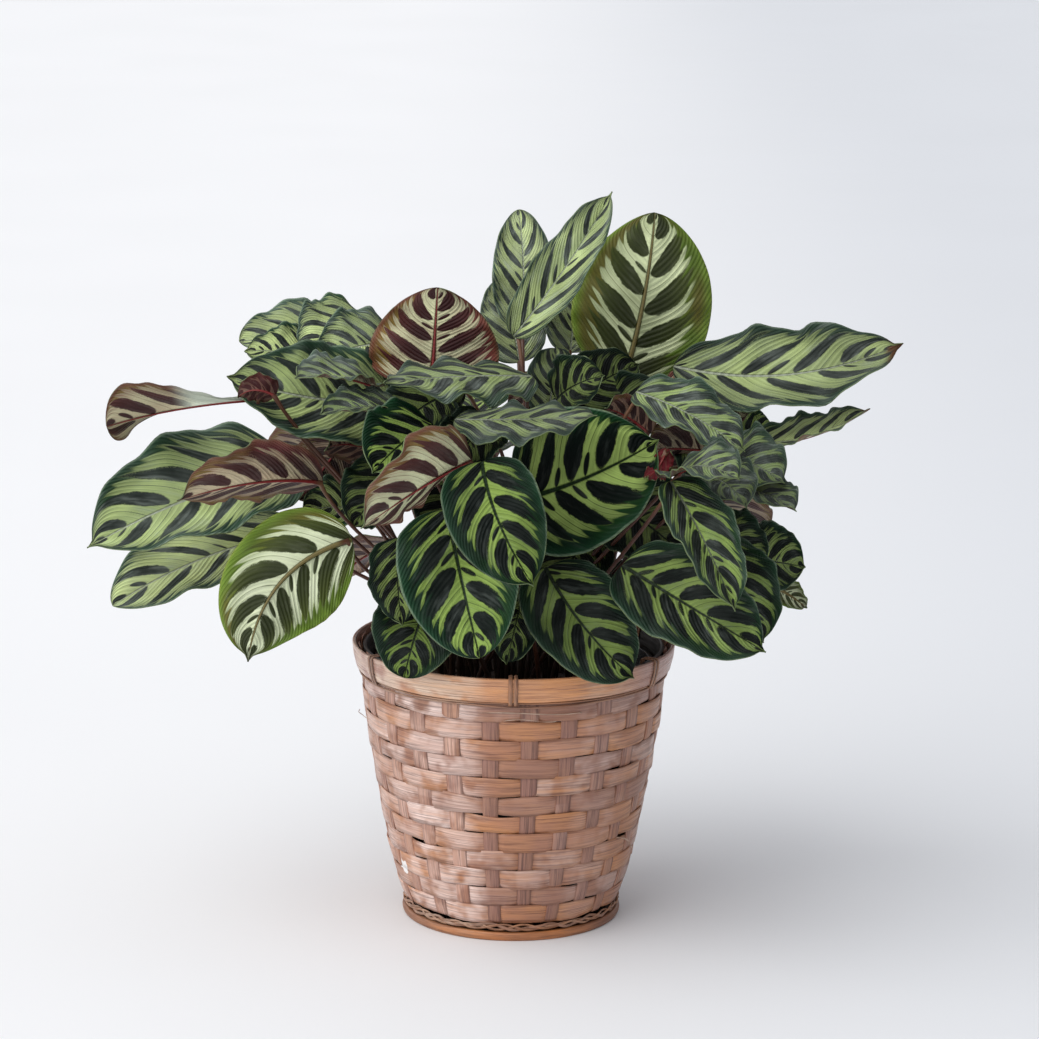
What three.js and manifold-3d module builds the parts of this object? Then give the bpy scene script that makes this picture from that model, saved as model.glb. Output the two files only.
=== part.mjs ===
// A potted calathea (peacock plant) standing in a woven splint basket.
// Millimetres, +Z up, the front of the plant faces -Y, the basket stands on z = 0.

import * as THREE from 'three';
import { mergeVertices } from 'three/addons/utils/BufferGeometryUtils.js';
import Module from 'manifold-3d';

const wasm = await Module();
wasm.setup();

// ---------- driving sizes ----------

const gap = 0.35; // clearance between neighbouring pieces

const basket = {
  height: 169, // to the top of the rim
  rimRadius: 97.5, // outside the rim, at its top
  taper: 0.181, // radius gained for each mm of height
  footRadius: 65.8,
  rimHeight: 15,
  rimThickness: 2.8,
  wallThickness: 2.2,
  stakes: 24, // upright splints
  rows: 12, // splints woven around them
  relief: 0.8, // how far a splint stands out where it crosses over
  floorThickness: 3,
  hoopHeight: 5,
  braidHeight: 6,
  ringThickness: 3.4,
  facets: 36,
};

const liner = {
  topZ: 157,
  topRadius: 83.2,
  bottomRadius: 58,
  thickness: 1.5,
  lipHeight: 3,
  lipWidth: 1.2,
  facets: 36,
};

const soilTop = 140;
const stemSink = 8; // depth of a stem in the soil
const stemRadius = 1.4;
const stemHoleRadius = 2;
const stemSides = 4;
const stemSteps = 5;
const stemSpacing = 7; // spread of the clump of stems, as on a sunflower head
const goldenAngle = 2.39996;

const bladeThickness = 0.7;
const smallBlade = 80; // blades shorter than this take fewer rows of points
const bladeRows = [0, 0.12, 0.28, 0.46, 0.64, 0.82, 1];
const smallBladeRows = [0, 0.14, 0.34, 0.58, 0.82, 1];
const bladeColumns = [-1, -0.5, 0, 0.5, 1];

// ---------- the leaves ----------

// base and tip are the ends of the midrib, width is the blade's full width, and facing is the way
// that the leaf's upper side looks. arch lifts the middle of the midrib, sweep bends it sideways,
// fold and cup are angles in degrees that raise the halves, and wave is the height of the ripples
// along the margin. widest is the place of the greatest width. stem numbers the leaf's place in
// the clump, and a leaf with a shoot grows from the same root as the leaf that it names.
const leafDefaults = {
  facing: [0, -0.6, 0.8],
  arch: 6,
  sweep: 0,
  fold: 12,
  foldPower: 1,
  cup: 10,
  wave: 2.5,
  waves: 2.5,
  widest: 0.42,
  bow: [0, 0, 0],
};

const leaves = [
  // left side, from the top down
  { name: 'top_left_a', base: [-88, 105, 326], tip: [-170, 75, 336], width: 62, stem: 14,
    facing: [-0.1, -0.5, 0.8], arch: 4, wave: 3 },
  { name: 'top_left_b', base: [-93, 75, 351], tip: [-129, 45, 332], width: 48, stem: 22,
    facing: [-0.3, -0.7, 0.6], arch: 8, wave: 3 },
  { name: 'top_left_c', base: [-74, 45, 340], tip: [-119, 15, 334], width: 52, stem: 1,
    facing: [0, -0.7, 0.7], wave: 3 },
  { name: 'mid_left_big', base: [-72, 5, 312], tip: [-170, -25, 332], width: 70, stem: 4,
    facing: [-0.2, -0.75, 0.6], arch: 4, sweep: 8, wave: 3 },
  { name: 'left_gray', base: [-82, -26, 327], tip: [-128, -58, 337], width: 46, stem: 7,
    facing: [0, -0.22, 0.97], arch: 4, wave: 2 },
  { name: 'left_dark', base: [-64, -54, 317], tip: [-112, -84, 321], width: 40, stem: 2,
    facing: [0, -0.25, 0.97], arch: 4, wave: 1.2 },
  { name: 'far_left_twisted', base: [-139, -20, 318], tip: [-237, -60, 308], width: 44, stem: 17,
    facing: [0, 0.9, 0.3], under: true, arch: 0, sweep: 4, fold: 86, foldTip: 5, foldPower: 3,
    wave: 2, waves: 2, widest: 0.9 },
  { name: 'left_big', base: [-134, 10, 270], tip: [-248, -70, 238], width: 84, stem: 30,
    facing: [-0.1, -0.7, 0.7], arch: 9, wave: 4, waves: 3 },
  { name: 'left_purple', base: [-112, -60, 276], tip: [-192, -110, 275], width: 46, stem: 12,
    facing: [0, 1, 0.35], under: true, arch: -4, sweep: 9, fold: 25, wave: 3 },
  { name: 'maroon_small', base: [-80, -10, 285], tip: [-111, -30, 291], width: 30,
    shoot: 'left_dark', facing: [0, 1, 0.3], under: true },
  { name: 'left_bright', base: [-47, -78, 314], tip: [-81, -115, 293], width: 54, stem: 33,
    facing: [-0.2, -0.8, 0.55] },
  { name: 'left_behind', base: [-86, 16, 241], tip: [-128, -4, 247], width: 44, stem: 38,
    facing: [0, -0.6, 0.8], arch: 5 },
  { name: 'low_left_cream', base: [-93, -95, 250], tip: [-151, -125, 185], width: 68, stem: 25,
    facing: [0, 1, -0.25], backlit: true, arch: -4, sweep: 15, fold: 6, wave: 1.5, bow: [-14, 8, 25] },
  { name: 'low_left_pale', base: [-124, 20, 230], tip: [-238, -30, 194], width: 52, stem: 9,
    facing: [-0.1, -0.7, 0.7], arch: 4, sweep: -6, wave: 3, waves: 3, bow: [0, 8, 10] },
  { name: 'left_low_dark', base: [-67, -75, 247], tip: [-64, -100, 201], width: 34, stem: 49,
    facing: [-0.3, -0.85, 0.4], arch: 5 },

  // top and middle
  { name: 'brown_fan', base: [-50, -9, 325], tip: [-47, 0, 382], width: 80, stem: 6,
    facing: [0, 1, -0.1], under: true, arch: 0, fold: 10, wave: 3, widest: 0.4 },
  { name: 'top_gray', base: [9, -20, 333], tip: [-76, -80, 339], width: 56, stem: 0,
    facing: [0, -0.32, 0.95], arch: 2, fold: 0, cup: -12, wave: 4, waves: 3.5, bow: [0, -20, 0] },
  { name: 'front_gray', base: [-35, -80, 318], tip: [46, -110, 327], width: 48, stem: 28,
    facing: [0, -0.3, 0.95], arch: -1, fold: 0, cup: -12, wave: 3, waves: 3.5, bow: [14, 4, 0] },
  { name: 'upright_left', base: [3, 80, 344], tip: [0, 90, 417], width: 40, stem: 11,
    facing: [0, -1, 0.1], arch: 3, sweep: -2, wave: 3 },
  { name: 'upright_long', base: [-2, 20, 350], tip: [56, 40, 435], width: 42, stem: 5,
    facing: [-0.2, -0.95, 0.2], arch: 3, sweep: -3, fold: 28, waves: 2, bow: [-10, 25, 0] },
  { name: 'upright_back', base: [2, 115, 318], tip: [-9, 125, 371], width: 42, stem: 19,
    facing: [0, -1, 0.2], arch: 3, wave: 2 },
  { name: 'upright_mid', base: [33, 100, 327], tip: [38, 110, 382], width: 38,
    shoot: 'upright_back', facing: [0, -1, 0.1], arch: 3 },
  { name: 'upright_big', base: [65, 60, 316], tip: [83, 75, 418], width: 86, stem: 3,
    facing: [0.05, 0.95, 0.05], backlit: true, arch: -5, sweep: 3, fold: 6, cup: 8, wave: 1.5 },
  { name: 'dark_arch', base: [45, 26, 294], tip: [100, 6, 311], width: 48, stem: 8, arch: 9 },
  { name: 'brown_small', base: [14, 40, 324], tip: [4, 20, 302], width: 32,
    shoot: 'dark_arch', facing: [0, 1, 0.2], under: true, arch: 0 },
  { name: 'center_big', base: [2, -45, 264], tip: [83, -62, 304], width: 90, stem: 15,
    facing: [0, -0.9, 0.4], sweep: -5, wave: 2 },
  { name: 'center_purple', base: [-25, -102, 298], tip: [-86, -147, 268], width: 60, stem: 20,
    facing: [0, 0.8, 0.5], under: true, arch: -6, sweep: 11, fold: 30, foldTip: 5, wave: 3,
    arrival: [-0.2, -0.85, 0.5], bow: [-8, 0, 30] },
  { name: 'front_hang', base: [-19, -118, 301], tip: [11, -155, 238], width: 58, stem: 36,
    facing: [-0.1, -0.9, 0.4], arch: 8, sweep: -4, wave: 2, arrival: [-0.6, -0.5, 0.6],
    bow: [10, 0, 10] },
  { name: 'front_low', base: [-39, -78, 265], tip: [-19, -118, 187], width: 72, stem: 54,
    facing: [-0.1, -0.95, 0.35], arch: 9, wave: 2 },

  // right side, from the top down
  { name: 'right_long', base: [94, 26, 332], tip: [228, -8, 353], width: 60, stem: 21,
    facing: [0.05, -0.75, 0.65], arch: -6, sweep: -10, wave: 5, waves: 3, widest: 0.48 },
  { name: 'right_brown', base: [84, 30, 306], tip: [142, 30, 305], width: 52, stem: 16,
    facing: [0, 1, 0.2], under: true, arch: 0, fold: 8 },
  { name: 'right_round_back', base: [129, 50, 280], tip: [156, 50, 293], width: 32,
    shoot: 'right_brown', facing: [0, -0.9, 0.3] },
  { name: 'right_twist', base: [70, -30, 326], tip: [133, -60, 297], width: 50, stem: 13,
    facing: [0.1, -0.6, 0.75], wave: 4, bow: [0, -40, 0] },
  { name: 'right_under', base: [128, 8, 281], tip: [75, -12, 287], width: 46, stem: 55,
    facing: [0, 0.9, 0.3], under: true },
  { name: 'maroon_mid', base: [79, -24, 300], tip: [52, -28, 316], width: 30,
    shoot: 'right_under', facing: [0, 1, 0.3], under: true },
  { name: 'right_narrow', base: [139, 26, 286], tip: [210, -4, 313], width: 36, stem: 29,
    facing: [0, -0.35, 0.9], arch: -3, sweep: -8, fold: 18, wave: 2 },
  { name: 'right_drop', base: [116, -12, 281], tip: [158, -38, 274], width: 50, stem: 26,
    facing: [0.2, -0.6, 0.7], arch: 8, wave: 4 },
  { name: 'right_sheen', base: [92, -72, 285], tip: [127, -118, 292], width: 42, stem: 10,
    facing: [0, -0.5, 0.85], arch: 8, wave: 3 },
  { name: 'right_sheen_low', base: [108, -45, 277], tip: [133, -90, 270], width: 42, stem: 18,
    facing: [0.1, -0.5, 0.85], arch: 8, wave: 3 },
  { name: 'right_ruffled', base: [126, -10, 263], tip: [164, -55, 261], width: 38, stem: 47,
    facing: [0.1, -0.4, 0.9], wave: 3 },
  { name: 'right_hanging', base: [89, -85, 284], tip: [125, -135, 220], width: 42, stem: 31,
    facing: [0.3, -0.85, 0.4], arch: 5, fold: 20, wave: 3 },
  { name: 'right_mid', base: [110, -15, 239], tip: [147, -35, 220], width: 46, stem: 34,
    facing: [0.3, -0.8, 0.5] },
  { name: 'right_round', base: [135, 15, 216], tip: [175, 5, 214], width: 48, stem: 42,
    facing: [0.3, -0.85, 0.4], arch: 4, arrival: [0.7, 0, 0.5], bow: [0, 15, 20] },
  { name: 'right_tip', base: [155, 25, 198], tip: [178, 25, 184], width: 18,
    shoot: 'right_round', facing: [0, 1, 0.1], backlit: true, arrival: [1, 0, -0.3],
    bow: [0, 0, 35] },
  { name: 'right_low', base: [116, -50, 239], tip: [145, -80, 188], width: 46, stem: 39,
    facing: [0.35, -0.85, 0.4], arch: 8 },
  { name: 'right_low_big', base: [62, -88, 235], tip: [144, -118, 192], width: 62, stem: 23,
    facing: [0.15, -0.85, 0.5], arch: 8, sweep: -3, wave: 3 },

  // low over the rim of the basket
  { name: 'pot_left', base: [-48, -68, 213], tip: [-63, -92, 168], width: 54, stem: 46,
    facing: [-0.1, -0.9, 0.4], arch: 8, wave: 3 },
  { name: 'pot_mid', base: [6, -78, 218], tip: [-4, -90, 176], width: 30, stem: 44,
    facing: [0, -0.9, 0.4], arch: 5 },
  { name: 'pot_right', base: [18, -70, 229], tip: [70, -92, 169], width: 60, stem: 41,
    facing: [0.1, -0.9, 0.4], arch: 10, sweep: -6 },

  // back
  { name: 'back_left_high', base: [-75, 55, 272], tip: [-155, 110, 258], width: 60, stem: 43,
    facing: [-0.2, 0.5, 0.85], arch: 8 },
  { name: 'back_mid_high', base: [-25, 75, 292], tip: [-40, 165, 280], width: 58, stem: 48,
    facing: [0, 0.4, 0.9], arch: 10, bow: [8, 0, 0] },
  { name: 'back_right_high', base: [70, 70, 295], tip: [150, 135, 280], width: 60, stem: 45,
    facing: [0.2, 0.5, 0.85], arch: 8 },
  { name: 'back_left_mid', base: [-60, 70, 250], tip: [-130, 160, 215], width: 64, stem: 27,
    facing: [-0.3, 0.6, 0.75], arch: 10 },
  { name: 'back_mid_left', base: [-20, 85, 265], tip: [-45, 190, 225], width: 66, stem: 32,
    facing: [0, 0.5, 0.85], arch: 10 },
  { name: 'back_mid_right', base: [35, 85, 262], tip: [60, 190, 238], width: 64, stem: 24,
    facing: [0.1, 0.5, 0.85], arch: 10 },
  { name: 'back_right_mid', base: [80, 65, 245], tip: [160, 140, 205], width: 66, stem: 37,
    facing: [0.3, 0.5, 0.8], arch: 10 },
  { name: 'back_left_low', base: [-65, 50, 215], tip: [-120, 115, 165], width: 62, stem: 35,
    facing: [-0.4, 0.6, 0.6], arch: 10 },
  { name: 'back_mid_low', base: [5, 75, 215], tip: [10, 165, 165], width: 68, stem: 40,
    facing: [0, 0.7, 0.7], arch: 12 },
  { name: 'back_right_low', base: [75, 60, 205], tip: [125, 130, 155], width: 62, stem: 50,
    facing: [0.4, 0.6, 0.6], arch: 10 },
].map((leaf) => ({ ...leafDefaults, ...leaf }));

// ---------- solids ----------

function toManifold(geometry) {
  geometry.deleteAttribute('normal');
  geometry.deleteAttribute('uv');
  const merged = mergeVertices(geometry);
  const mesh = new wasm.Mesh({
    numProp: 3,
    vertProperties: new Float32Array(merged.attributes.position.array),
    triVerts: new Uint32Array(merged.index.array),
  });
  return new wasm.Manifold(mesh);
}

function toGeometry(solid) {
  const mesh = solid.getMesh();
  const geometry = new THREE.BufferGeometry();
  geometry.setAttribute('position', new THREE.BufferAttribute(mesh.vertProperties, 3));
  geometry.setIndex(new THREE.BufferAttribute(mesh.triVerts, 1));
  geometry.computeVertexNormals();
  return geometry;
}

// A ring or dish turned about Z from a profile of [radius, height] points.
function turned(profile, facets, moved = (radius) => radius) {
  const points = profile.map(([radius, height]) => new THREE.Vector2(radius, height));
  const geometry = new THREE.LatheGeometry([...points, points[0]], facets).rotateX(Math.PI / 2);
  const place = geometry.attributes.position;
  for (let i = 0; i < place.count; i += 1) {
    const radius = Math.hypot(place.getX(i), place.getY(i));
    if (radius > 0) {
      const scale = moved(radius, Math.atan2(place.getY(i), place.getX(i)), place.getZ(i)) / radius;
      place.setXY(i, place.getX(i) * scale, place.getY(i) * scale);
    }
  }
  return toManifold(geometry);
}

// ---------- one leaf ----------

// Half the blade's width at t, as a share of its greatest: round, with a short pointed tip.
function widthAt(leaf, t) {
  const power = Math.log(0.5) / Math.log(leaf.widest);
  const along = Math.min(t / 0.965, 1);
  const oval = (1 - Math.abs(2 * along ** power - 1) ** 2.2) ** 0.62;
  const point = t > 0.5 ? 1.2 * (1 - t) : 0;
  return Math.max(oval, point);
}

// The midrib's point at t, with the tangent, the upper side's normal and the way across.
function midribAt(leaf, t) {
  const base = new THREE.Vector3(...leaf.base);
  const run = new THREE.Vector3(...leaf.tip).sub(base);
  const axis = run.clone().normalize();
  const up = new THREE.Vector3(...leaf.facing);
  up.addScaledVector(axis, -up.dot(axis)).normalize();
  const side = up.clone().cross(axis);
  const rise = 4 * t * (1 - t);
  const slope = 4 * (1 - 2 * t);
  const point = base.addScaledVector(run, t)
    .addScaledVector(up, leaf.arch * rise)
    .addScaledVector(side, leaf.sweep * rise);
  const tangent = run.addScaledVector(up, leaf.arch * slope)
    .addScaledVector(side, leaf.sweep * slope)
    .normalize();
  const normal = up.addScaledVector(tangent, -up.dot(tangent)).normalize();
  const across = normal.clone().cross(tangent);
  return { point, tangent, normal, across };
}

// A point of the blade's middle surface: t runs from base to tip, w from -1 to 1 across.
function bladePoint(leaf, t, w) {
  const { point, normal, across } = midribAt(leaf, t);
  const half = Math.max((leaf.width / 2) * widthAt(leaf, t), 0.9);
  const foldTip = leaf.foldTip ?? leaf.fold;
  const fold = THREE.MathUtils.degToRad(leaf.fold + (foldTip - leaf.fold) * t ** leaf.foldPower);
  const cup = THREE.MathUtils.degToRad(leaf.cup);
  const reach = Math.abs(w);
  const angle = fold + cup * reach;
  const side = w >= 0 ? 1 : -1;
  const out = (half * (Math.sin(angle) - Math.sin(fold))) / cup;
  const ripple = Math.sin(2 * Math.PI * leaf.waves * t + side * 1.1);
  const lift = (half * (Math.cos(fold) - Math.cos(angle))) / cup
    + leaf.wave * reach * reach * Math.sqrt(Math.sin(Math.PI * t)) * ripple;
  return point.addScaledVector(across, out * side).addScaledVector(normal, lift);
}

function bladeNormal(leaf, t, w) {
  const step = 0.001;
  const along = bladePoint(leaf, Math.min(t + step, 1), w)
    .sub(bladePoint(leaf, Math.max(t - step, 0), w));
  const wide = bladePoint(leaf, t, Math.min(w + step, 1))
    .sub(bladePoint(leaf, t, Math.max(w - step, -1)));
  return along.cross(wide).normalize();
}

// The blade: two faces on the same grid of points, closed around the margin.
function bladeSolid(leaf) {
  const length = new THREE.Vector3(...leaf.tip).distanceTo(new THREE.Vector3(...leaf.base));
  const rows = length < smallBlade ? smallBladeRows : bladeRows;
  const columns = bladeColumns;
  const count = rows.length * columns.length;
  const points = [];
  for (const side of [1, -1]) {
    for (const t of rows) {
      for (const w of columns) {
        const offset = bladeNormal(leaf, t, w).multiplyScalar((side * bladeThickness) / 2);
        points.push(...bladePoint(leaf, t, w).add(offset).toArray());
      }
    }
  }
  const at = (row, column) => row * columns.length + column;
  const faces = [];
  for (let row = 0; row < rows.length - 1; row += 1) {
    for (let column = 0; column < columns.length - 1; column += 1) {
      const [a, b] = [at(row, column), at(row, column + 1)];
      const [c, d] = [at(row + 1, column), at(row + 1, column + 1)];
      faces.push(a, c, b, b, c, d);
      faces.push(count + a, count + b, count + c, count + b, count + d, count + c);
    }
  }
  const lastRow = rows.length - 1;
  const lastColumn = columns.length - 1;
  const margin = [
    ...columns.map((_, column) => at(0, column)),
    ...rows.slice(1).map((_, row) => at(row + 1, lastColumn)),
    ...columns.slice(1).map((_, column) => at(lastRow, lastColumn - 1 - column)),
    ...rows.slice(2).map((_, row) => at(lastRow - 1 - row, 0)),
  ];
  margin.forEach((a, i) => {
    const b = margin[(i + 1) % margin.length];
    faces.push(a, b, count + a, b, count + b, count + a);
  });
  const geometry = new THREE.BufferGeometry();
  geometry.setAttribute('position', new THREE.Float32BufferAttribute(points, 3));
  geometry.setIndex(faces);
  return toManifold(geometry);
}

// Where a stem stands in the clump.
function stemPlace(number) {
  const reach = stemSpacing * Math.sqrt(number + 0.5);
  const angle = goldenAngle * number;
  return new THREE.Vector2(reach * Math.cos(angle), reach * Math.sin(angle));
}

// The stem's route: it rises from the soil and bends over to meet the base of the blade.
function stemCurve(leaf, sink) {
  const place = stemPlace(leaf.root);
  const root = new THREE.Vector3(place.x, place.y, soilTop - sink);
  const { point: end, normal } = midribAt(leaf, 0.03);
  const span = end.distanceTo(root);
  const outward = new THREE.Vector3(end.x - root.x, end.y - root.y, 0).normalize();
  const arrival = leaf.arrival
    ? new THREE.Vector3(...leaf.arrival)
    : new THREE.Vector3(0, 0, 0.9).addScaledVector(outward, 0.5).addScaledVector(normal, -0.15);
  arrival.normalize();
  const first = root.clone()
    .add(new THREE.Vector3(0, 0, 0.35 * span))
    .add(new THREE.Vector3(...leaf.bow));
  const second = end.clone().addScaledVector(arrival, -0.3 * span);
  return new THREE.CubicBezierCurve3(root, first, second, end);
}

function stemSolid(leaf, radius, sink) {
  const section = new THREE.Shape();
  for (let i = 0; i < stemSides; i += 1) {
    const angle = (2 * Math.PI * i) / stemSides;
    const [x, y] = [radius * Math.cos(angle), radius * Math.sin(angle)];
    if (i === 0) {
      section.moveTo(x, y);
    } else {
      section.lineTo(x, y);
    }
  }
  section.closePath();
  const geometry = new THREE.ExtrudeGeometry(section, {
    steps: stemSteps,
    bevelEnabled: false,
    extrudePath: stemCurve(leaf, sink),
  });
  return toManifold(geometry);
}

function leafSolid(leaf) {
  return bladeSolid(leaf).add(stemSolid(leaf, stemRadius, stemSink));
}

// ---------- basket, liner and soil ----------

const rimBottom = basket.height - basket.rimHeight;
const ringTop = basket.hoopHeight + basket.braidHeight;
const wallBottom = ringTop + gap;
const wallTop = basket.height - 1;
const wallOutside = (z) => basket.rimRadius - basket.rimThickness - gap - basket.taper * (basket.height - z);
const wallInside = (z) => wallOutside(z) - basket.wallThickness;

// The wall: twelve rows of splint woven over and under the stakes, raised from a plain cone.
function wallSolid() {
  const weaveTop = rimBottom - gap;
  const rowHeight = (weaveTop - wallBottom) / basket.rows;
  const profile = [[wallInside(wallTop), wallTop], [wallInside(wallBottom), wallBottom]];
  for (let half = 0; half <= 2 * basket.rows; half += 1) {
    const z = wallBottom + (half * rowHeight) / 2;
    profile.push([wallOutside(z) - basket.relief, z]);
  }
  profile.push([wallOutside(wallTop) - basket.relief, wallTop]);
  const woven = (radius, angle, z) => {
    const half = Math.round((2 * (z - wallBottom)) / rowHeight);
    const outside = radius > (wallInside(z) + wallOutside(z)) / 2;
    const middleOfRow = half % 2 === 1 && half < 2 * basket.rows;
    const stake = Math.round((angle * basket.stakes) / (2 * Math.PI));
    const row = (half - 1) / 2;
    const over = Math.abs(stake + row) % 2 === 0;
    return outside && middleOfRow && over ? radius + basket.relief : radius;
  };
  return turned(profile, basket.stakes, woven);
}

// One of the two bands that clamp the top of the wall, from its outer radius at the rim's top.
function rimBand(radius) {
  const lower = radius - basket.taper * basket.rimHeight;
  return turned([
    [radius, basket.height],
    [radius - basket.rimThickness, basket.height],
    [lower - basket.rimThickness, rimBottom],
    [lower, rimBottom],
  ], basket.facets);
}

// The outer band carries the lashings, six narrow loops of cane.
function rimOuterSolid() {
  const lashing = { count: 6, width: 7, height: basket.rimHeight + 1.5, thickness: 1.6, sink: 1 };
  const lean = Math.atan(basket.taper);
  const radius = basket.rimRadius - (basket.taper * basket.rimHeight) / 2;
  let solid = rimBand(basket.rimRadius);
  for (let i = 0; i < lashing.count; i += 1) {
    const box = new THREE.BoxGeometry(lashing.thickness + lashing.sink, lashing.width, lashing.height);
    box.rotateY(lean);
    box.translate(radius + (lashing.thickness - lashing.sink) / 2, 0, basket.height - lashing.height / 2 + 0.4);
    box.rotateZ(-Math.PI / 2 + (i * 2 * Math.PI) / lashing.count);
    solid = solid.add(toManifold(box));
  }
  return solid;
}

function rimInnerSolid() {
  const flatOfWall = Math.cos(Math.PI / basket.stakes); // the wall has a facet for each stake
  return rimBand(wallInside(basket.height) * flatOfWall - gap);
}

// The foot: a smooth hoop that stands on the ground, with a braid of thin strands on it.
function footRingSolid() {
  const outside = basket.footRadius;
  const inside = outside - basket.ringThickness;
  const strands = 12;
  const swell = 0.7;
  const profile = [
    [inside, 0],
    [outside - 0.6, 0],
    [outside, 1],
    [outside + 0.4, basket.hoopHeight + basket.braidHeight / 2],
    [outside, ringTop],
    [inside, ringTop],
  ];
  const braided = (radius, angle, z) => {
    const onBraid = radius > inside + 1 && Math.abs(z - basket.hoopHeight - basket.braidHeight / 2) < 1;
    return onBraid ? radius + swell * Math.cos(strands * angle) : radius;
  };
  return turned(profile, basket.facets, braided);
}

function basketFloorSolid() {
  const radius = basket.footRadius - basket.ringThickness - gap;
  return turned([[0, 0], [radius, 0], [radius, basket.floorThickness], [0, basket.floorThickness]],
    basket.facets);
}

const linerBottom = basket.floorThickness + gap;

function linerRadius(z) {
  const share = (z - linerBottom) / (liner.topZ - linerBottom);
  return liner.bottomRadius + (liner.topRadius - liner.bottomRadius) * share;
}

// The plastic nursery pot inside the basket, open at the top, with a turned-out lip.
function linerSolid() {
  const lipZ = liner.topZ - liner.lipHeight;
  const floorZ = linerBottom + 2 * liner.thickness;
  return turned([
    [0, linerBottom],
    [linerRadius(linerBottom), linerBottom],
    [linerRadius(lipZ), lipZ],
    [linerRadius(lipZ) + liner.lipWidth, lipZ],
    [linerRadius(liner.topZ) + liner.lipWidth, liner.topZ],
    [linerRadius(liner.topZ) - liner.thickness, liner.topZ],
    [linerRadius(floorZ) - liner.thickness, floorZ],
    [0, floorZ],
  ], liner.facets);
}

// The soil fills the liner and has a hole for each stem.
function soilSolid() {
  const bottom = linerBottom + 2 * liner.thickness + gap;
  const radius = (z) => linerRadius(z) - liner.thickness - gap;
  let soil = turned([[0, bottom], [radius(bottom), bottom], [radius(soilTop), soilTop], [0, soilTop]],
    liner.facets);
  for (const leaf of leaves) {
    soil = soil.subtract(stemSolid(leaf, stemHoleRadius, stemSink + gap));
  }
  return soil;
}

// ---------- the part ----------

const colours = {
  leafTop: { color: '#3f6b35', roughness: 0.45, metalness: 0 },
  leafUnder: { color: '#7a4a44', roughness: 0.5, metalness: 0 },
  leafBacklit: { color: '#8c9a4a', roughness: 0.5, metalness: 0 },
  splint: { color: '#a37860', roughness: 0.65, metalness: 0 },
  rimSplint: { color: '#b9794f', roughness: 0.55, metalness: 0 },
  footSplint: { color: '#a5683f', roughness: 0.6, metalness: 0 },
  liner: { color: '#0c0c0e', roughness: 0.25, metalness: 0 },
  soil: { color: '#2b1f18', roughness: 0.95, metalness: 0 },
};

const part = new THREE.Group();

function addPiece(name, solid, look) {
  const mesh = new THREE.Mesh(toGeometry(solid), new THREE.MeshStandardMaterial(look));
  mesh.name = name;
  part.add(mesh);
}

const byName = new Map(leaves.map((leaf) => [leaf.name, leaf]));
for (const leaf of leaves) {
  leaf.root = leaf.stem ?? byName.get(leaf.shoot).stem;
}

for (const leaf of leaves.filter((one) => one.stem !== undefined)) {
  const shoots = leaves.filter((one) => one.shoot === leaf.name);
  const solid = shoots.reduce((sum, one) => sum.add(leafSolid(one)), leafSolid(leaf));
  const side = leaf.under ? colours.leafUnder : colours.leafTop;
  addPiece(`leaf_${leaf.name}`, solid, leaf.backlit ? colours.leafBacklit : side);
}

addPiece('basket_wall', wallSolid(), colours.splint);
addPiece('rim_outer', rimOuterSolid(), colours.rimSplint);
addPiece('rim_inner', rimInnerSolid(), colours.rimSplint);
addPiece('foot_ring', footRingSolid(), colours.footSplint);
addPiece('basket_floor', basketFloorSolid(), colours.splint);
addPiece('liner_pot', linerSolid(), colours.liner);
addPiece('soil', soilSolid(), colours.soil);

export default part;
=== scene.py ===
# A potted calathea in a woven splint basket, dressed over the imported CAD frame.
# Metres, +Z up, the front of the plant faces -Y, the basket stands on z = 0.

import math
import random

import bmesh
import bpy
from mathutils import Matrix, Vector


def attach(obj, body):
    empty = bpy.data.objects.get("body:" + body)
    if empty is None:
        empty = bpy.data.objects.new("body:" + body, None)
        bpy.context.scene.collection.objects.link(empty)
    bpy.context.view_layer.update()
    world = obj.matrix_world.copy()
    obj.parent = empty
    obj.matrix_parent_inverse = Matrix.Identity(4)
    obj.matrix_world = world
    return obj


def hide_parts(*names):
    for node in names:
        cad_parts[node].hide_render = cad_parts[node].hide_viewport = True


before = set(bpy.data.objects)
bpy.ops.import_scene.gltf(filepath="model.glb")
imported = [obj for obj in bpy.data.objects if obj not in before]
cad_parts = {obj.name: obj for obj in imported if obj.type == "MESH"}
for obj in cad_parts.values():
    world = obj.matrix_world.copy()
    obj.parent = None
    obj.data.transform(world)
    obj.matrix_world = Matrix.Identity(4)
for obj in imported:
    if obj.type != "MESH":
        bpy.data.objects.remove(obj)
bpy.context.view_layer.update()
mm = 0.001


def paint(red, green, blue):
    # a screen colour, 0 to 1, as the linear colour that Blender's sockets take
    linear = [c / 12.92 if c < 0.04045 else ((c + 0.055) / 1.055) ** 2.4 for c in (red, green, blue)]
    return (*linear, 1.0)


class Value:
    # the output of a shader node, which adds and multiplies as plain numbers do
    def __init__(self, socket):
        self.socket = socket

    def __add__(self, other):
        return mathNode("ADD", self, other)

    def __sub__(self, other):
        return mathNode("SUBTRACT", self, other)

    def __rsub__(self, other):
        return mathNode("SUBTRACT", other, self)

    def __mul__(self, other):
        return mathNode("MULTIPLY", self, other)

    def __truediv__(self, other):
        return mathNode("DIVIDE", self, other)

    def __pow__(self, other):
        return mathNode("POWER", self, other)

    def __abs__(self):
        return mathNode("ABSOLUTE", self)

    __radd__ = __add__
    __rmul__ = __mul__


def addNode(tree, kind, **values):
    node = tree.nodes.new(kind)
    for name, value in values.items():
        setattr(node, name, value)
    return node


def plug(source, socket):
    # a shader value is linked, anything else is a plain number or colour
    if isinstance(source, Value):
        socket.id_data.links.new(source.socket, socket)
    else:
        socket.default_value = source


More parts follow.
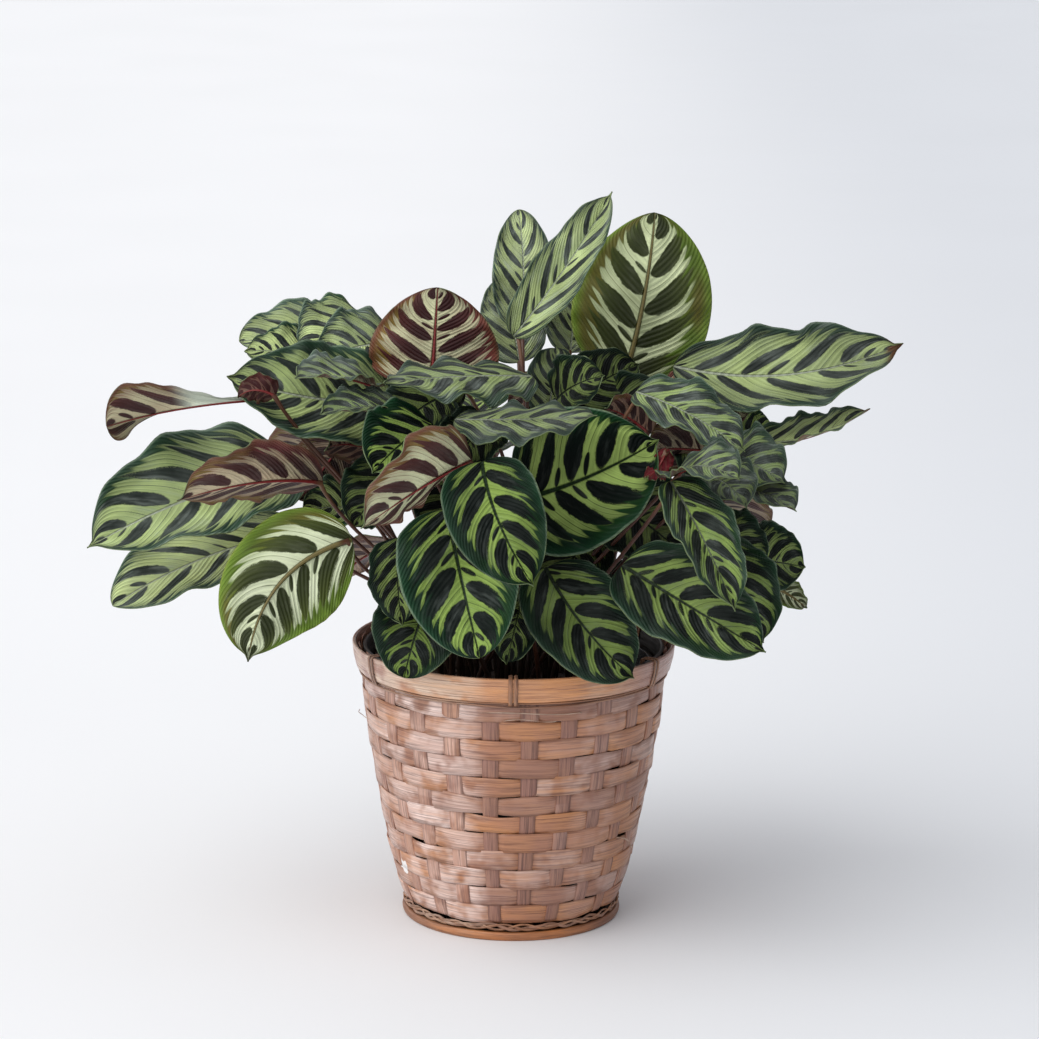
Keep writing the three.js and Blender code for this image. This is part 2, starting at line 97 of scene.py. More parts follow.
def nodeFor(sources, kind, **values):
    # a node in the tree of its sources, which feed its sockets in their order
    tree = next(source.socket.id_data for source in sources if isinstance(source, Value))
    node = addNode(tree, kind, **values)
    for socket, source in zip(node.inputs, sources):
        plug(source, socket)
    return node


def mathNode(operation, *terms, clamp=False):
    node = nodeFor(terms, "ShaderNodeMath", operation=operation, use_clamp=clamp)
    return Value(node.outputs[0])


def larger(a, b):
    return mathNode("MAXIMUM", a, b)


def ramp(value, low, high, outLow=0.0, outHigh=1.0, smooth=True):
    kind = "SMOOTHSTEP" if smooth else "LINEAR"
    node = nodeFor((value, low, high, outLow, outHigh), "ShaderNodeMapRange", interpolation_type=kind)
    return Value(node.outputs[0])


def blendColor(factor, a, b, mode="MIX"):
    tree = next(source.socket.id_data for source in (factor, a, b) if isinstance(source, Value))
    node = addNode(tree, "ShaderNodeMix", data_type="RGBA", blend_type=mode)
    for source, number in ((factor, 0), (a, 6), (b, 7)):
        plug(source, node.inputs[number])
    return Value(node.outputs[2])


def vector(x, y, z=0.0):
    return Value(nodeFor((x, y, z), "ShaderNodeCombineXYZ").outputs[0])


def split(source):
    return [Value(socket) for socket in nodeFor((source,), "ShaderNodeSeparateXYZ").outputs]


def noise(place, scale, detail=2.0, roughness=0.5):
    node = nodeFor((place,), "ShaderNodeTexNoise")
    node.inputs["Scale"].default_value = scale
    node.inputs["Detail"].default_value = detail
    node.inputs["Roughness"].default_value = roughness
    return Value(node.outputs["Fac"])


def speck(place):
    # one random value for each place
    node = nodeFor((place,), "ShaderNodeTexWhiteNoise", noise_dimensions="3D")
    return Value(node.outputs["Value"])


def attribute(tree, name):
    return Value(addNode(tree, "ShaderNodeAttribute", attribute_name=name).outputs["Fac"])


def objectPlace(tree):
    return Value(addNode(tree, "ShaderNodeTexCoord").outputs["Object"])


def mapPlace(tree, name):
    return Value(addNode(tree, "ShaderNodeUVMap", uv_map=name).outputs["UV"])


def newGroup(name, inputs, outputs):
    # a group of nodes with its named values, and the sockets where its results go
    tree = bpy.data.node_groups.new(name, "ShaderNodeTree")
    for label, kind, value in inputs:
        socket = tree.interface.new_socket(label, in_out="INPUT", socket_type=kind)
        if value is not None:
            socket.default_value = value
    for label in outputs:
        tree.interface.new_socket(label, in_out="OUTPUT", socket_type="NodeSocketFloat")
    start = addNode(tree, "NodeGroupInput")
    end = addNode(tree, "NodeGroupOutput")
    inlet = {label: Value(start.outputs[label]) for label, _, _ in inputs}
    return tree, inlet, end.inputs


def useGroup(tree, group, **values):
    node = addNode(tree, "ShaderNodeGroup", node_tree=group)
    for name, value in values.items():
        plug(value, node.inputs[name])
    return {socket.name: Value(socket) for socket in node.outputs}


def newMaterial(name):
    material = bpy.data.materials.new(name)
    material.use_nodes = True
    tree = material.node_tree
    return material, tree, tree.nodes["Principled BSDF"]


def finishWith(shader, color, roughness, height=None, distance=0.0):
    # the shader's colour, its roughness and, where there is a height, the relief of its surface
    plug(color, shader.inputs["Base Color"])
    plug(roughness, shader.inputs["Roughness"])
    if height is None:
        return
    bump = addNode(shader.id_data, "ShaderNodeBump")
    bump.inputs["Strength"].default_value = 1.0
    bump.inputs["Distance"].default_value = distance
    plug(height, bump.inputs["Height"])
    plug(Value(bump.outputs["Normal"]), shader.inputs["Normal"])


# the markings of a calathea leaf
leafMarks = {
    "ovals": 4.7,  # big dark ovals along each side of the midrib
    "slant": 0.27,  # how far a vein runs forward on its way to the margin
    "curl": 0.13,  # and how much more it bends near the margin
    "tipPinch": 0.45,  # share of the slant that is lost at the leaf's ends
    "fineVeins": 6.0,  # fine veins in each oval's space
}


def veinMarks(v, w, seed, cloudPlace):
    # counts the ovals along the midrib, with the place slanted forward as the veins are
    reach = abs(w)
    side = mathNode("GREATER_THAN", w, 0.0)
    drift = noise(cloudPlace, 0.8, 0.0) * 0.10 - 0.05
    taper = mathNode("SQRT", larger(v * 4.0 * (1.0 - v), 0.02))
    pinch = taper * leafMarks["tipPinch"] + (1 - leafMarks["tipPinch"])
    forward = (reach * leafMarks["slant"] + reach ** 2.5 * leafMarks["curl"]) * pinch
    count = (v + drift - forward) * leafMarks["ovals"]
    return reach, side, taper, count + (side * 0.5 + seed * 5.0)


def ovalMark(reach, side, place, inlet, cloud, cloudPlace):
    # a big oval: a short stalk at the midrib, fullest in the middle, pointed at both ends
    luck = speck(vector(mathNode("FLOOR", place), side, inlet["seed"]))
    off = abs(mathNode("FRACT", place) - 0.5)
    along = ramp(reach, luck * 0.06, luck * 0.16 + 0.78, smooth=False)
    rise = along ** 0.8
    belly = (rise * (1.0 - rise) * 4.0) ** 0.8
    fray = noise(cloudPlace, 7.0, 3.0, 0.6)
    wobble = (cloud * 0.16 - 0.08) + (fray * 0.16 - 0.08)
    half = luck * 0.08 + (inlet["border"] * 0.3 + 0.21)
    half = belly * ((half + wobble) * inlet["fullness"])
    return ramp(half - off, -0.03, 0.02), off


def dotMark(reach, side, place, seed, off):
    # a small dot beside the midrib between two ovals
    chance = speck(vector(mathNode("ROUND", place), side, seed + 3.0))
    along = ramp(reach, 0.03, chance * 0.14 + 0.17, smooth=False)
    half = mathNode("SQRT", along * (1.0 - along)) * ramp(chance, 0.40, 0.60, 0.0, 0.17)
    return ramp(half - (0.5 - off), -0.03, 0.02)


def buildLeafMarks():
    # masks for ovals, fine veins, margin, midrib and edge from the leaf's own map:
    # u runs across from 0 to 1, v from base to tip
    tree, inlet, outlet = newGroup(
        "calatheaMarks",
        [("map", "NodeSocketVector", None), ("seed", "NodeSocketFloat", 0.0),
         ("border", "NodeSocketFloat", 0.2), ("fullness", "NodeSocketFloat", 1.0)],
        ("ovals", "veins", "margin", "midrib", "edge", "reach", "cloud", "pleat", "sheenStreaks"),
    )
    u, v, _ = split(inlet["map"])
    seed = inlet["seed"]
    w = u * 2.0 - 1.0
    cloudPlace = vector(w, v * 3.0, seed * 37.0)
    cloud = noise(cloudPlace, 1.6)
    reach, side, taper, place = veinMarks(v, w, seed, cloudPlace)
    oval, off = ovalMark(reach, side, place, inlet, cloud, cloudPlace)
    plug(larger(oval, dotMark(reach, side, place, seed, off)), outlet["ovals"])

    # thin veins in the pale ground
    turns = place * (2 * math.pi * leafMarks["fineVeins"])
    wave = mathNode("COSINE", turns)
    strength = ramp(cloud, 0.3, 0.7, 0.1, 0.45) + ramp(reach, 0.2, 0.8, 0.0, 0.4)
    plug(ramp(wave, 0.72, 1.0) * strength, outlet["veins"])
    plug(wave, outlet["pleat"])

    # painted sheen: silvery highlight streaks that run along the veins
    streaks = noise(vector(place * 2.6, w * 1.7, seed * 13.0), 1.4, 3.0, 0.6)
    plug(ramp(streaks, 0.50, 0.74), outlet["sheenStreaks"])

    # the dark margin runs inwards in thin points between the fingers of each pale band
    fingers = mathNode("COSINE", turns * 0.5)
    point = mathNode("ROUND", turns * (0.25 / math.pi))
    uneven = speck(vector(point, side, seed))
    ragged = reach + fingers * (uneven * 0.11 + 0.02) + uneven * 0.05 + (cloud * 0.20 - 0.10)
    begin = 1.0 - inlet["border"]
    plug(ramp(ragged, begin, begin + 0.07), outlet["margin"])

    # the midrib narrows towards the tip
    plug(ramp((v * -0.024 + 0.036) - reach * taper, -0.012, 0.012), outlet["midrib"])
    plug(ramp(reach, 0.955, 0.985), outlet["edge"])
    plug(reach, outlet["reach"])
    plug(cloud, outlet["cloud"])
    return tree


marksGroup = buildLeafMarks()

leafLayers = ("seed", "pale", "sheen", "shade", "border", "fade", "dry", "blush")
leafFinishes = {
    "leafTop": {
        "groundVivid": paint(0.53, 0.65, 0.26),
        "groundPale": paint(0.76, 0.82, 0.56),
        "vein": paint(0.11, 0.22, 0.09),
        "ovalNear": paint(0.015, 0.045, 0.035),
        "ovalFar": paint(0.030, 0.090, 0.060),
        "margin": paint(0.045, 0.150, 0.085),
        "marginTurn": paint(0.09, 0.22, 0.09),
        "marginOuter": paint(0.10, 0.24, 0.15),
        "edge": paint(0.50, 0.58, 0.48),
        "midrib": paint(0.08, 0.15, 0.06),
        "midribPale": paint(0.66, 0.69, 0.60),
        "sheen": paint(0.62, 0.66, 0.63),
        "roughness": 0.34,
        "specular": 0.06,
        "veinShare": 0.9,
        "paleOvals": 0.66,
    },
    "leafUnder": {
        "groundVivid": paint(0.64, 0.50, 0.43),
        "groundPale": paint(0.84, 0.86, 0.69),
        "vein": paint(0.47, 0.16, 0.15),
        "ovalNear": paint(0.20, 0.060, 0.065),
        "ovalFar": paint(0.30, 0.13, 0.12),
        "margin": paint(0.37, 0.15, 0.15),
        "marginTurn": paint(0.47, 0.38, 0.17),
        "marginOuter": paint(0.43, 0.24, 0.18),
        "edge": paint(0.46, 0.38, 0.28),
        "midrib": paint(0.48, 0.08, 0.09),
        "midribPale": paint(0.44, 0.10, 0.10),
        "sheen": paint(0.62, 0.60, 0.57),
        "roughness": 0.46,
        "specular": 0.25,
        "veinShare": 0.8,
        "paleOvals": 0.95,
    },
    # painted light: the colours of a blade with light shining through it from behind
    "leafGlow": {
        "groundVivid": paint(0.76, 0.81, 0.58),
        "groundPale": paint(0.86, 0.89, 0.76),
        "vein": paint(0.42, 0.48, 0.24),
        "ovalNear": paint(0.17, 0.20, 0.07),
        "ovalFar": paint(0.26, 0.30, 0.09),
        "margin": paint(0.33, 0.42, 0.12),
        "marginTurn": paint(0.37, 0.36, 0.13),
        "marginOuter": paint(0.42, 0.53, 0.17),
        "edge": paint(0.52, 0.58, 0.25),
        "midrib": paint(0.34, 0.32, 0.15),
        "midribPale": paint(0.38, 0.36, 0.17),
        "sheen": paint(0.70, 0.72, 0.62),
        "roughness": 0.46,
        "specular": 0.25,
        "veinShare": 0.75,
        "paleOvals": 1.0,
    },
}
dryTip = paint(0.46, 0.33, 0.24)
bareBlade = paint(0.78, 0.82, 0.75)  # a twisted blade that shows its washed-out side
blushColor = paint(0.50, 0.12, 0.17)  # young tissue that is still crimson


def leafColors(finish, marks, look, turnPlace):
    # the pale ground with its veins, then the ovals, the margin, the midrib and the edge
    ground = blendColor(look["pale"], finish["groundVivid"], finish["groundPale"])
    ground = blendColor(ramp(marks["cloud"], 0.35, 0.7, 0.0, 0.25), ground, finish["vein"])
    ground = blendColor(ramp(marks["reach"], 0.40, 1.0, 0.0, 0.45), ground, finish["margin"])
    color = blendColor(marks["veins"] * finish["veinShare"], ground, finish["vein"])
    oval = blendColor(ramp(marks["reach"], 0.25, 0.85), finish["ovalNear"], finish["ovalFar"])
    color = blendColor(marks["ovals"], color, oval)
    turned = ramp(noise(turnPlace, 1.5, 1.0), 0.44, 0.60)
    margin = blendColor(turned, finish["margin"], finish["marginTurn"])
    margin = blendColor(ramp(marks["reach"], 0.80, 1.0), margin, finish["marginOuter"])
    color = blendColor(marks["margin"], color, margin)
    paleRib = larger(ramp(look["pale"], 0.3, 0.75), ramp(look["sheen"], 0.08, 0.25))
    rib = blendColor(paleRib, finish["midrib"], finish["midribPale"])
    color = blendColor(marks["midrib"], color, rib)
    return blendColor(marks["edge"] * 0.6, color, finish["edge"])


def leafSheenAndWear(finish, marks, look, color, v, patch):
    # painted sheen: a grey sheen in patches and silvery streaks stand in for light glancing off the
    # blade; then a washed-out stretch, a dry tip and a crimson flush
    paintedSheen = (patch * 0.55 + 0.30) * look["sheen"]
    sheenStreaks = marks["sheenStreaks"] * (look["sheen"] * 0.9 + 0.06)
    color = blendColor(mathNode("ADD", paintedSheen, sheenStreaks, clamp=True), color, finish["sheen"])
    bare = ramp(v, 0.02, 0.10) * ramp(v, 0.62, 0.46)
    color = blendColor(bare * look["fade"], color, bareBlade)
    tip = ramp(v + (patch * 0.05 - 0.025), 0.93, 0.97)
    color = blendColor(tip * look["dry"], color, dryTip)
    return blendColor(look["blush"], color, blushColor)


def leafMaterial(name):
    finish = leafFinishes[name]
    material, tree, shader = newMaterial(name)
    place = mapPlace(tree, "leafMap")
    u, v, _ = split(place)
    look = {label: attribute(tree, label) for label in leafLayers}
    seed = look["seed"]
    fullness = ramp(look["pale"], 0.35, 1.0, 1.0, finish["paleOvals"])
    marks = useGroup(tree, marksGroup, map=place, seed=seed, border=look["border"], fullness=fullness)
    turnPlace = vector(u * 1.4, v, seed * 23.0)
    patch = ramp(noise(vector(u * 1.3, v * 2.2, seed), 2.3, 3.0), 0.35, 0.68)
    color = leafColors(finish, marks, look, turnPlace)
    color = leafSheenAndWear(finish, marks, look, color, v, patch)
    # painted light and shade: shade darkens each leaf that lies in shadow and lightens one in full
    # light, broad varies the tone at random, and the pleats are painted a little lighter and darker
    broad = ramp(noise(turnPlace, 2.2, 1.0), 0.35, 0.65, 0.78, 1.06)
    level = look["shade"] * broad * (marks["pleat"] * 0.08 + 0.98)
    color = blendColor(1.0, color, vector(level, level, level), "MULTIPLY")
    grain = noise(vector(u * 2.0, v * 3.0, seed), 60.0)
    height = marks["pleat"] * 0.35 + grain * 0.35 - marks["midrib"] * 1.4
    shader.inputs["Specular IOR Level"].default_value = finish["specular"]
    finishWith(shader, color, patch * 0.14 + finish["roughness"], height, 0.0006)
    return material


stemPaint = {
    # painted shade: the feet of the stems are painted near black, as they stand in the shade of the pot
    "foot": paint(0.13, 0.10, 0.06),
    "middle": paint(0.34, 0.20, 0.14),
    "mottle": paint(0.25, 0.10, 0.09),
    "joint": paint(0.42, 0.28, 0.18),  # the swollen joint below the blade
    "rib": paint(0.46, 0.10, 0.10),
    "ribGlow": paint(0.42, 0.37, 0.18),
}


def stemMaterial():
    # along runs from 0 at the soil to 1 at the blade, and on to 2 at the end of the rib
    material, tree, shader = newMaterial("leafStem")
    along = attribute(tree, "along")
    mottle = noise(objectPlace(tree), 260.0, 3.0)
    # painted shade: darkest at the soil, then the stem's own colour higher up
    color = blendColor(ramp(along, 0.12, 0.6), stemPaint["foot"], stemPaint["middle"])
    color = blendColor(ramp(mottle, 0.35, 0.75, 0.0, 0.45), color, stemPaint["mottle"])
    joint = ramp(along, 0.88, 0.93) * ramp(along, 1.06, 1.0)
    color = blendColor(joint * ramp(attribute(tree, "seed"), 0.2, 0.8), color, stemPaint["joint"])
    # painted light: the rib of a backlit leaf is painted olive, as if light shone through it
    rib = blendColor(attribute(tree, "glow"), stemPaint["rib"], stemPaint["ribGlow"])
    color = blendColor(ramp(along, 1.02, 1.08), color, rib)
    finishWith(shader, color, ramp(mottle, 0.3, 0.7, 0.35, 0.55), mottle, 0.0003)
    return material


edgePaint = {"dark": paint(0.22, 0.30, 0.14), "light": paint(0.50, 0.56, 0.38)}


def edgeMaterial():
    material, tree, shader = newMaterial("leafEdge")
    tone = noise(objectPlace(tree), 120.0)
    color = blendColor(tone, edgePaint["dark"], edgePaint["light"])
    finishWith(shader, color, ramp(tone, 0.3, 0.7, 0.4, 0.55))
    return material


leafTop = leafMaterial("leafTop")
leafUnder = leafMaterial("leafUnder")
leafGlow = leafMaterial("leafGlow")
leafStem = stemMaterial()
leafEdge = edgeMaterial()

# base and tip are the ends of the midrib in millimetres, width is the blade's full width, and facing is
# the way that its upper side looks. arch lifts the middle of the midrib and sweep bends it sideways.
# fold and cup are angles in degrees that raise the halves, foldTip is the fold at the tip, and a high
# foldPower keeps the fold until late. wave is the height of the ripples along the margin, waves their
# number and widest the place of the greatest width. A blunt leaf has no drawn-out tip. A leaf that
# shows its red side has under set, and one with the light behind it has backlit set.
# stem numbers the leaf's place in the clump, and a leaf with a shoot grows from the root of the leaf
# that it names. bow pushes the lower part of the stem aside, and arrival is the way it meets the blade.
# The rest sets the colours: pale ground, painted grey sheen, painted light and shade, width of the
# dark border, faded blade, dry tip and crimson blush.
leafDefaults = {
    "facing": (0, -0.6, 0.8), "under": False, "backlit": False,
    "arch": 6, "sweep": 0, "fold": 12, "foldPower": 1, "cup": 10,
    "wave": 2.5, "waves": 2.5, "widest": 0.42, "blunt": False, "bow": (0, 0, 0),
    "pale": 0.35, "sheen": 0.10, "shade": 1.0, "border": 0.25, "fade": 0.0, "dry": 0.0, "blush": 0.0,
}


def leafRow(name, base, tip, width, **shape):
    return {**leafDefaults, "name": name, "base": base, "tip": tip, "width": width, **shape}


leafTable = [
    # left side, from the top down
    leafRow("top_left_a", (-88, 105, 326), (-170, 75, 336), 62, stem=14, facing=(-0.1, -0.5, 0.8),
            arch=4, wave=3, blunt=True, pale=0.95, sheen=0.3, shade=1.35, border=0.13),
    leafRow("top_left_b", (-93, 75, 351), (-129, 45, 332), 48, stem=22, facing=(-0.3, -0.7, 0.6),
            arch=8, wave=3, pale=0.85, sheen=0.2, shade=1.3, border=0.16),
    leafRow("top_left_c", (-74, 45, 340), (-119, 15, 334), 52, stem=1, facing=(0, -0.7, 0.7), wave=3,
            pale=0.8, sheen=0.3, shade=1.2, border=0.17),
    leafRow("mid_left_big", (-72, 5, 312), (-170, -25, 332), 70, stem=4, facing=(-0.2, -0.75, 0.6),
            arch=4, sweep=8, wave=3, pale=0.7, sheen=0.15, shade=1.05, border=0.2),
    leafRow("left_gray", (-82, -26, 327), (-128, -58, 337), 46, stem=7, facing=(0, -0.22, 0.97), arch=4,
            wave=2, pale=0.5, sheen=0.5),
    leafRow("left_dark", (-64, -54, 317), (-112, -84, 321), 40, stem=2, facing=(0, -0.25, 0.97), arch=4,
            wave=1.2, sheen=0.35, shade=0.8),
    leafRow("far_left_twisted", (-139, -20, 318), (-237, -60, 308), 44, stem=17, facing=(0, 0.9, 0.3),
            under=True, arch=0, sweep=4, fold=78, foldTip=5, foldPower=3, wave=2, waves=2, widest=0.8,
            blunt=True, pale=0.6, sheen=0.1, shade=1.1, border=0.17, fade=0.9),
    leafRow("left_big", (-134, 10, 270), (-248, -70, 238), 84, stem=30, facing=(-0.1, -0.7, 0.7),
            arch=9, wave=4, waves=3, pale=0.75, sheen=0.2, shade=1.2, border=0.19),
    leafRow("left_purple", (-112, -60, 276), (-192, -110, 275), 46, stem=12, facing=(0, 1, 0.35),
            under=True, arch=-4, sweep=9, fold=25, wave=3, pale=0.4, shade=1.15, border=0.27),
    leafRow("maroon_small", (-80, -10, 285), (-111, -30, 291), 30, shoot="left_dark",
            facing=(0, 1, 0.3), under=True, pale=0.1, shade=0.8),
    leafRow("left_bright", (-47, -78, 314), (-81, -115, 293), 54, stem=33, facing=(-0.2, -0.8, 0.55),
            pale=0.2, sheen=0.0, shade=0.85, border=0.35),
    leafRow("left_behind", (-86, 16, 241), (-128, -4, 247), 44, stem=38, facing=(0, -0.6, 0.8), arch=5,
            pale=0.6),
    leafRow("low_left_cream", (-93, -95, 250), (-151, -125, 185), 68, stem=25, facing=(0, 1, -0.25),
            backlit=True, arch=-4, sweep=15, fold=6, wave=1.5, bow=(-14, 8, 25), pale=0.9, sheen=0.0,
            shade=1.1, border=0.25),
    leafRow("low_left_pale", (-124, 20, 230), (-238, -30, 194), 52, stem=9, facing=(-0.1, -0.7, 0.7),
            arch=4, sweep=-6, wave=3, waves=3, widest=0.55, blunt=True, bow=(0, 8, 10), pale=1.0,
            sheen=0.25, shade=1.45, border=0.14),
    leafRow("left_low_dark", (-67, -75, 247), (-64, -100, 201), 34, stem=49, facing=(-0.3, -0.85, 0.4),
            arch=5, shade=0.6, border=0.29),

    # top and middle
    leafRow("brown_fan", (-50, -9, 325), (-47, 0, 382), 80, stem=6, facing=(0, 1, -0.1), under=True,
            arch=0, fold=10, wave=4, widest=0.3, blunt=True, pale=0.85, sheen=0.0, border=0.2),
    leafRow("top_gray", (9, -20, 333), (-76, -80, 339), 56, stem=0, facing=(0, -0.32, 0.95), arch=2,
            fold=0, cup=-12, wave=4, waves=3.5, bow=(0, -20, 0), pale=0.6, sheen=0.35, shade=0.8),
    leafRow("front_gray", (-35, -80, 318), (46, -110, 327), 48, stem=28, facing=(0, -0.3, 0.95),
            arch=-1, fold=0, cup=-12, wave=3, waves=3.5, bow=(14, 4, 0), pale=0.6, sheen=0.4,
            shade=0.64),
    leafRow("upright_left", (3, 80, 344), (0, 90, 417), 40, stem=11, facing=(0, -1, 0.1), arch=3,
            sweep=-2, wave=3, blunt=True, pale=1.0, sheen=0.35, shade=1.3, border=0.14),
    leafRow("upright_long", (-2, 20, 350), (56, 40, 435), 38, stem=5, facing=(-0.2, -0.95, 0.2), arch=3,
            sweep=-3, fold=28, wave=5, waves=2.5, bow=(-10, 25, 0), pale=0.9, sheen=0.3, shade=1.35,
            border=0.13),
    leafRow("upright_back", (2, 115, 318), (-9, 125, 371), 42, stem=19, facing=(0, -1, 0.2), arch=3,
            wave=2, blunt=True, pale=1.0, sheen=0.4, shade=1.2, border=0.17),
    leafRow("upright_mid", (33, 100, 327), (38, 110, 382), 38, shoot="upright_back",
            facing=(0, -1, 0.1), arch=3, blunt=True, pale=1.0, sheen=0.4, shade=1.2, border=0.17),
    leafRow("upright_big", (65, 60, 316), (83, 75, 418), 86, stem=3, facing=(0.05, 0.95, 0.05),
            backlit=True, arch=-5, sweep=3, fold=6, cup=8, wave=2.5, blunt=True, pale=0.45, sheen=0.0,
            shade=1.1, border=0.34),
    leafRow("dark_arch", (45, 26, 294), (100, 6, 311), 48, stem=8, arch=9, shade=0.35),
    leafRow("brown_small", (14, 40, 324), (4, 20, 302), 32, shoot="dark_arch", facing=(0, 1, 0.2),
            under=True, arch=0, shade=0.8),
    leafRow("center_big", (2, -45, 264), (83, -62, 304), 90, stem=15, facing=(0, -0.9, 0.4), sweep=-5,
            wave=2, pale=0.3, sheen=0.0, shade=0.95, border=0.25),
    leafRow("center_purple", (-25, -102, 298), (-86, -147, 268), 60, stem=20, facing=(0, 0.8, 0.5),
            under=True, arch=-6, sweep=11, fold=30, foldTip=5, wave=3, bow=(-8, 0, 30),
            arrival=(-0.2, -0.85, 0.5), pale=0.95, shade=1.2, border=0.2),
    leafRow("front_hang", (-19, -118, 301), (11, -155, 238), 58, stem=36, facing=(-0.1, -0.9, 0.4),
            arch=8, sweep=-4, wave=2, bow=(10, 0, 10), arrival=(-0.6, -0.5, 0.6), pale=0.15, sheen=0.05,
            shade=0.85, border=0.32),
    leafRow("front_low", (-39, -78, 265), (-19, -118, 187), 72, stem=54, facing=(-0.1, -0.95, 0.35),
            arch=9, wave=2, blunt=True, pale=0.15, sheen=0.05, shade=1.15, border=0.3),

    # right side, from the top down
    leafRow("right_long", (94, 26, 332), (228, -8, 353), 60, stem=21, facing=(0.05, -0.75, 0.65),
            arch=-6, sweep=-10, wave=5.2, waves=3, widest=0.48, pale=0.8, sheen=0.25, shade=0.8,
            border=0.19, dry=1.0),
    leafRow("right_brown", (84, 30, 306), (142, 30, 305), 52, stem=16, facing=(0, 1, 0.2), under=True,
            arch=0, fold=8, pale=0.75),
    leafRow("right_round_back", (129, 50, 280), (156, 50, 293), 32, shoot="right_brown",
            facing=(0, -0.9, 0.3), shade=0.8),
    leafRow("right_twist", (70, -30, 326), (133, -60, 297), 42, stem=13, facing=(0.1, -0.6, 0.75),
            wave=4, bow=(0, -40, 0), pale=0.4, sheen=0.35),
    leafRow("right_under", (128, 8, 281), (75, -12, 287), 46, stem=55, facing=(0, 0.9, 0.3), under=True,
            shade=0.8),
    leafRow("maroon_mid", (79, -24, 300), (52, -28, 316), 30, shoot="right_under", facing=(0, 1, 0.3),
            under=True, pale=0.1, shade=0.8),
    leafRow("right_narrow", (139, 26, 286), (210, -4, 313), 36, stem=29, facing=(0, -0.35, 0.9),
            arch=-3, sweep=-8, fold=18, wave=2, pale=0.95, sheen=0.2, shade=1.5, dry=1.0),
    leafRow("right_drop", (116, -12, 281), (158, -38, 274), 50, stem=26, facing=(0.2, -0.6, 0.7),
            arch=8, wave=4, sheen=0.4, shade=0.8),
    leafRow("right_sheen", (92, -72, 285), (127, -118, 292), 42, stem=10, facing=(0, -0.5, 0.85),
            arch=8, wave=3, sheen=0.45, shade=0.75),
    leafRow("right_sheen_low", (108, -45, 277), (133, -90, 270), 42, stem=18, facing=(0.1, -0.5, 0.85),
            arch=8, wave=3, sheen=0.5, shade=0.75),
    leafRow("right_ruffled", (126, -10, 263), (164, -55, 261), 38, stem=47, facing=(0.1, -0.4, 0.9),
            wave=3, sheen=0.5, shade=0.75),
    leafRow("right_hanging", (89, -85, 284), (125, -135, 220), 42, stem=31, facing=(0.3, -0.85, 0.4),
            arch=5, fold=20, wave=3, pale=0.2, sheen=0.15, shade=0.9, border=0.26),
    leafRow("right_mid", (110, -15, 239), (147, -35, 220), 46, stem=34, facing=(0.3, -0.8, 0.5),
            pale=0.3, shade=0.8, border=0.29),
    leafRow("right_round", (135, 15, 216), (175, 5, 214), 48, stem=42, facing=(0.3, -0.85, 0.4), arch=4,
            bow=(0, 15, 20), arrival=(0.7, 0, 0.5), pale=0.4, shade=0.85),
    leafRow("right_tip", (155, 25, 198), (178, 25, 184), 18, shoot="right_round", facing=(0, 1, 0.1),
            backlit=True, bow=(0, 0, 35), arrival=(1, 0, -0.3), pale=0.9, shade=1.4, border=0.15),
    leafRow("right_low", (116, -50, 239), (145, -80, 188), 46, stem=39, facing=(0.35, -0.85, 0.4),
            arch=8, pale=0.25, shade=0.85, border=0.29),
    leafRow("right_low_big", (62, -88, 235), (144, -118, 192), 62, stem=23, facing=(0.15, -0.85, 0.5),
            arch=8, sweep=-3, wave=3, pale=0.25, shade=0.85, border=0.32),

    # low over the rim of the basket
    leafRow("pot_left", (-48, -68, 213), (-63, -92, 168), 54, stem=46, facing=(-0.1, -0.9, 0.4), arch=8,
            wave=3, blunt=True, pale=0.1, shade=0.75, border=0.35),
    leafRow("pot_mid", (6, -78, 218), (-4, -90, 176), 30, stem=44, facing=(0, -0.9, 0.4), arch=5,
            pale=0.3, shade=0.6, border=0.32),
    leafRow("pot_right", (18, -70, 229), (70, -92, 169), 60, stem=41, facing=(0.1, -0.9, 0.4), arch=10,
            sweep=-6, pale=0.2, shade=0.72, border=0.3),

    # back
    leafRow("back_left_high", (-75, 55, 272), (-155, 110, 258), 60, stem=43, facing=(-0.2, 0.5, 0.85),
            arch=8),
    leafRow("back_mid_high", (-25, 75, 292), (-40, 165, 280), 58, stem=48, facing=(0, 0.4, 0.9),
            arch=10, bow=(8, 0, 0)),
    leafRow("back_right_high", (70, 70, 295), (150, 135, 280), 60, stem=45, facing=(0.2, 0.5, 0.85),
            arch=8),
    leafRow("back_left_mid", (-60, 70, 250), (-130, 160, 215), 64, stem=27, facing=(-0.3, 0.6, 0.75),
            arch=10, pale=0.2),
    leafRow("back_mid_left", (-20, 85, 265), (-45, 190, 225), 66, stem=32, facing=(0, 0.5, 0.85),
            arch=10),
    leafRow("back_mid_right", (35, 85, 262), (60, 190, 238), 64, stem=24, facing=(0.1, 0.5, 0.85),
            arch=10, pale=0.2),
    leafRow("back_right_mid", (80, 65, 245), (160, 140, 205), 66, stem=37, facing=(0.3, 0.5, 0.8),
            arch=10),
    leafRow("back_left_low", (-65, 50, 215), (-120, 115, 165), 62, stem=35, facing=(-0.4, 0.6, 0.6),
            arch=10, pale=0.2),
    leafRow("back_mid_low", (5, 75, 215), (10, 165, 165), 68, stem=40, facing=(0, 0.7, 0.7), arch=12,
            pale=0.1),
    leafRow("back_right_low", (75, 60, 205), (125, 130, 155), 62, stem=50, facing=(0.4, 0.6, 0.6),
            arch=10, pale=0.2),

    # young leaves that fill the inside of the clump; most have a low shade and are painted dark, as the
    # inside lies in shadow
    leafRow("inner_left", (-44, -5, 317), (-75, -35, 297), 44, shoot="left_dark",
            facing=(-0.1, -0.8, 0.6), shade=0.5),
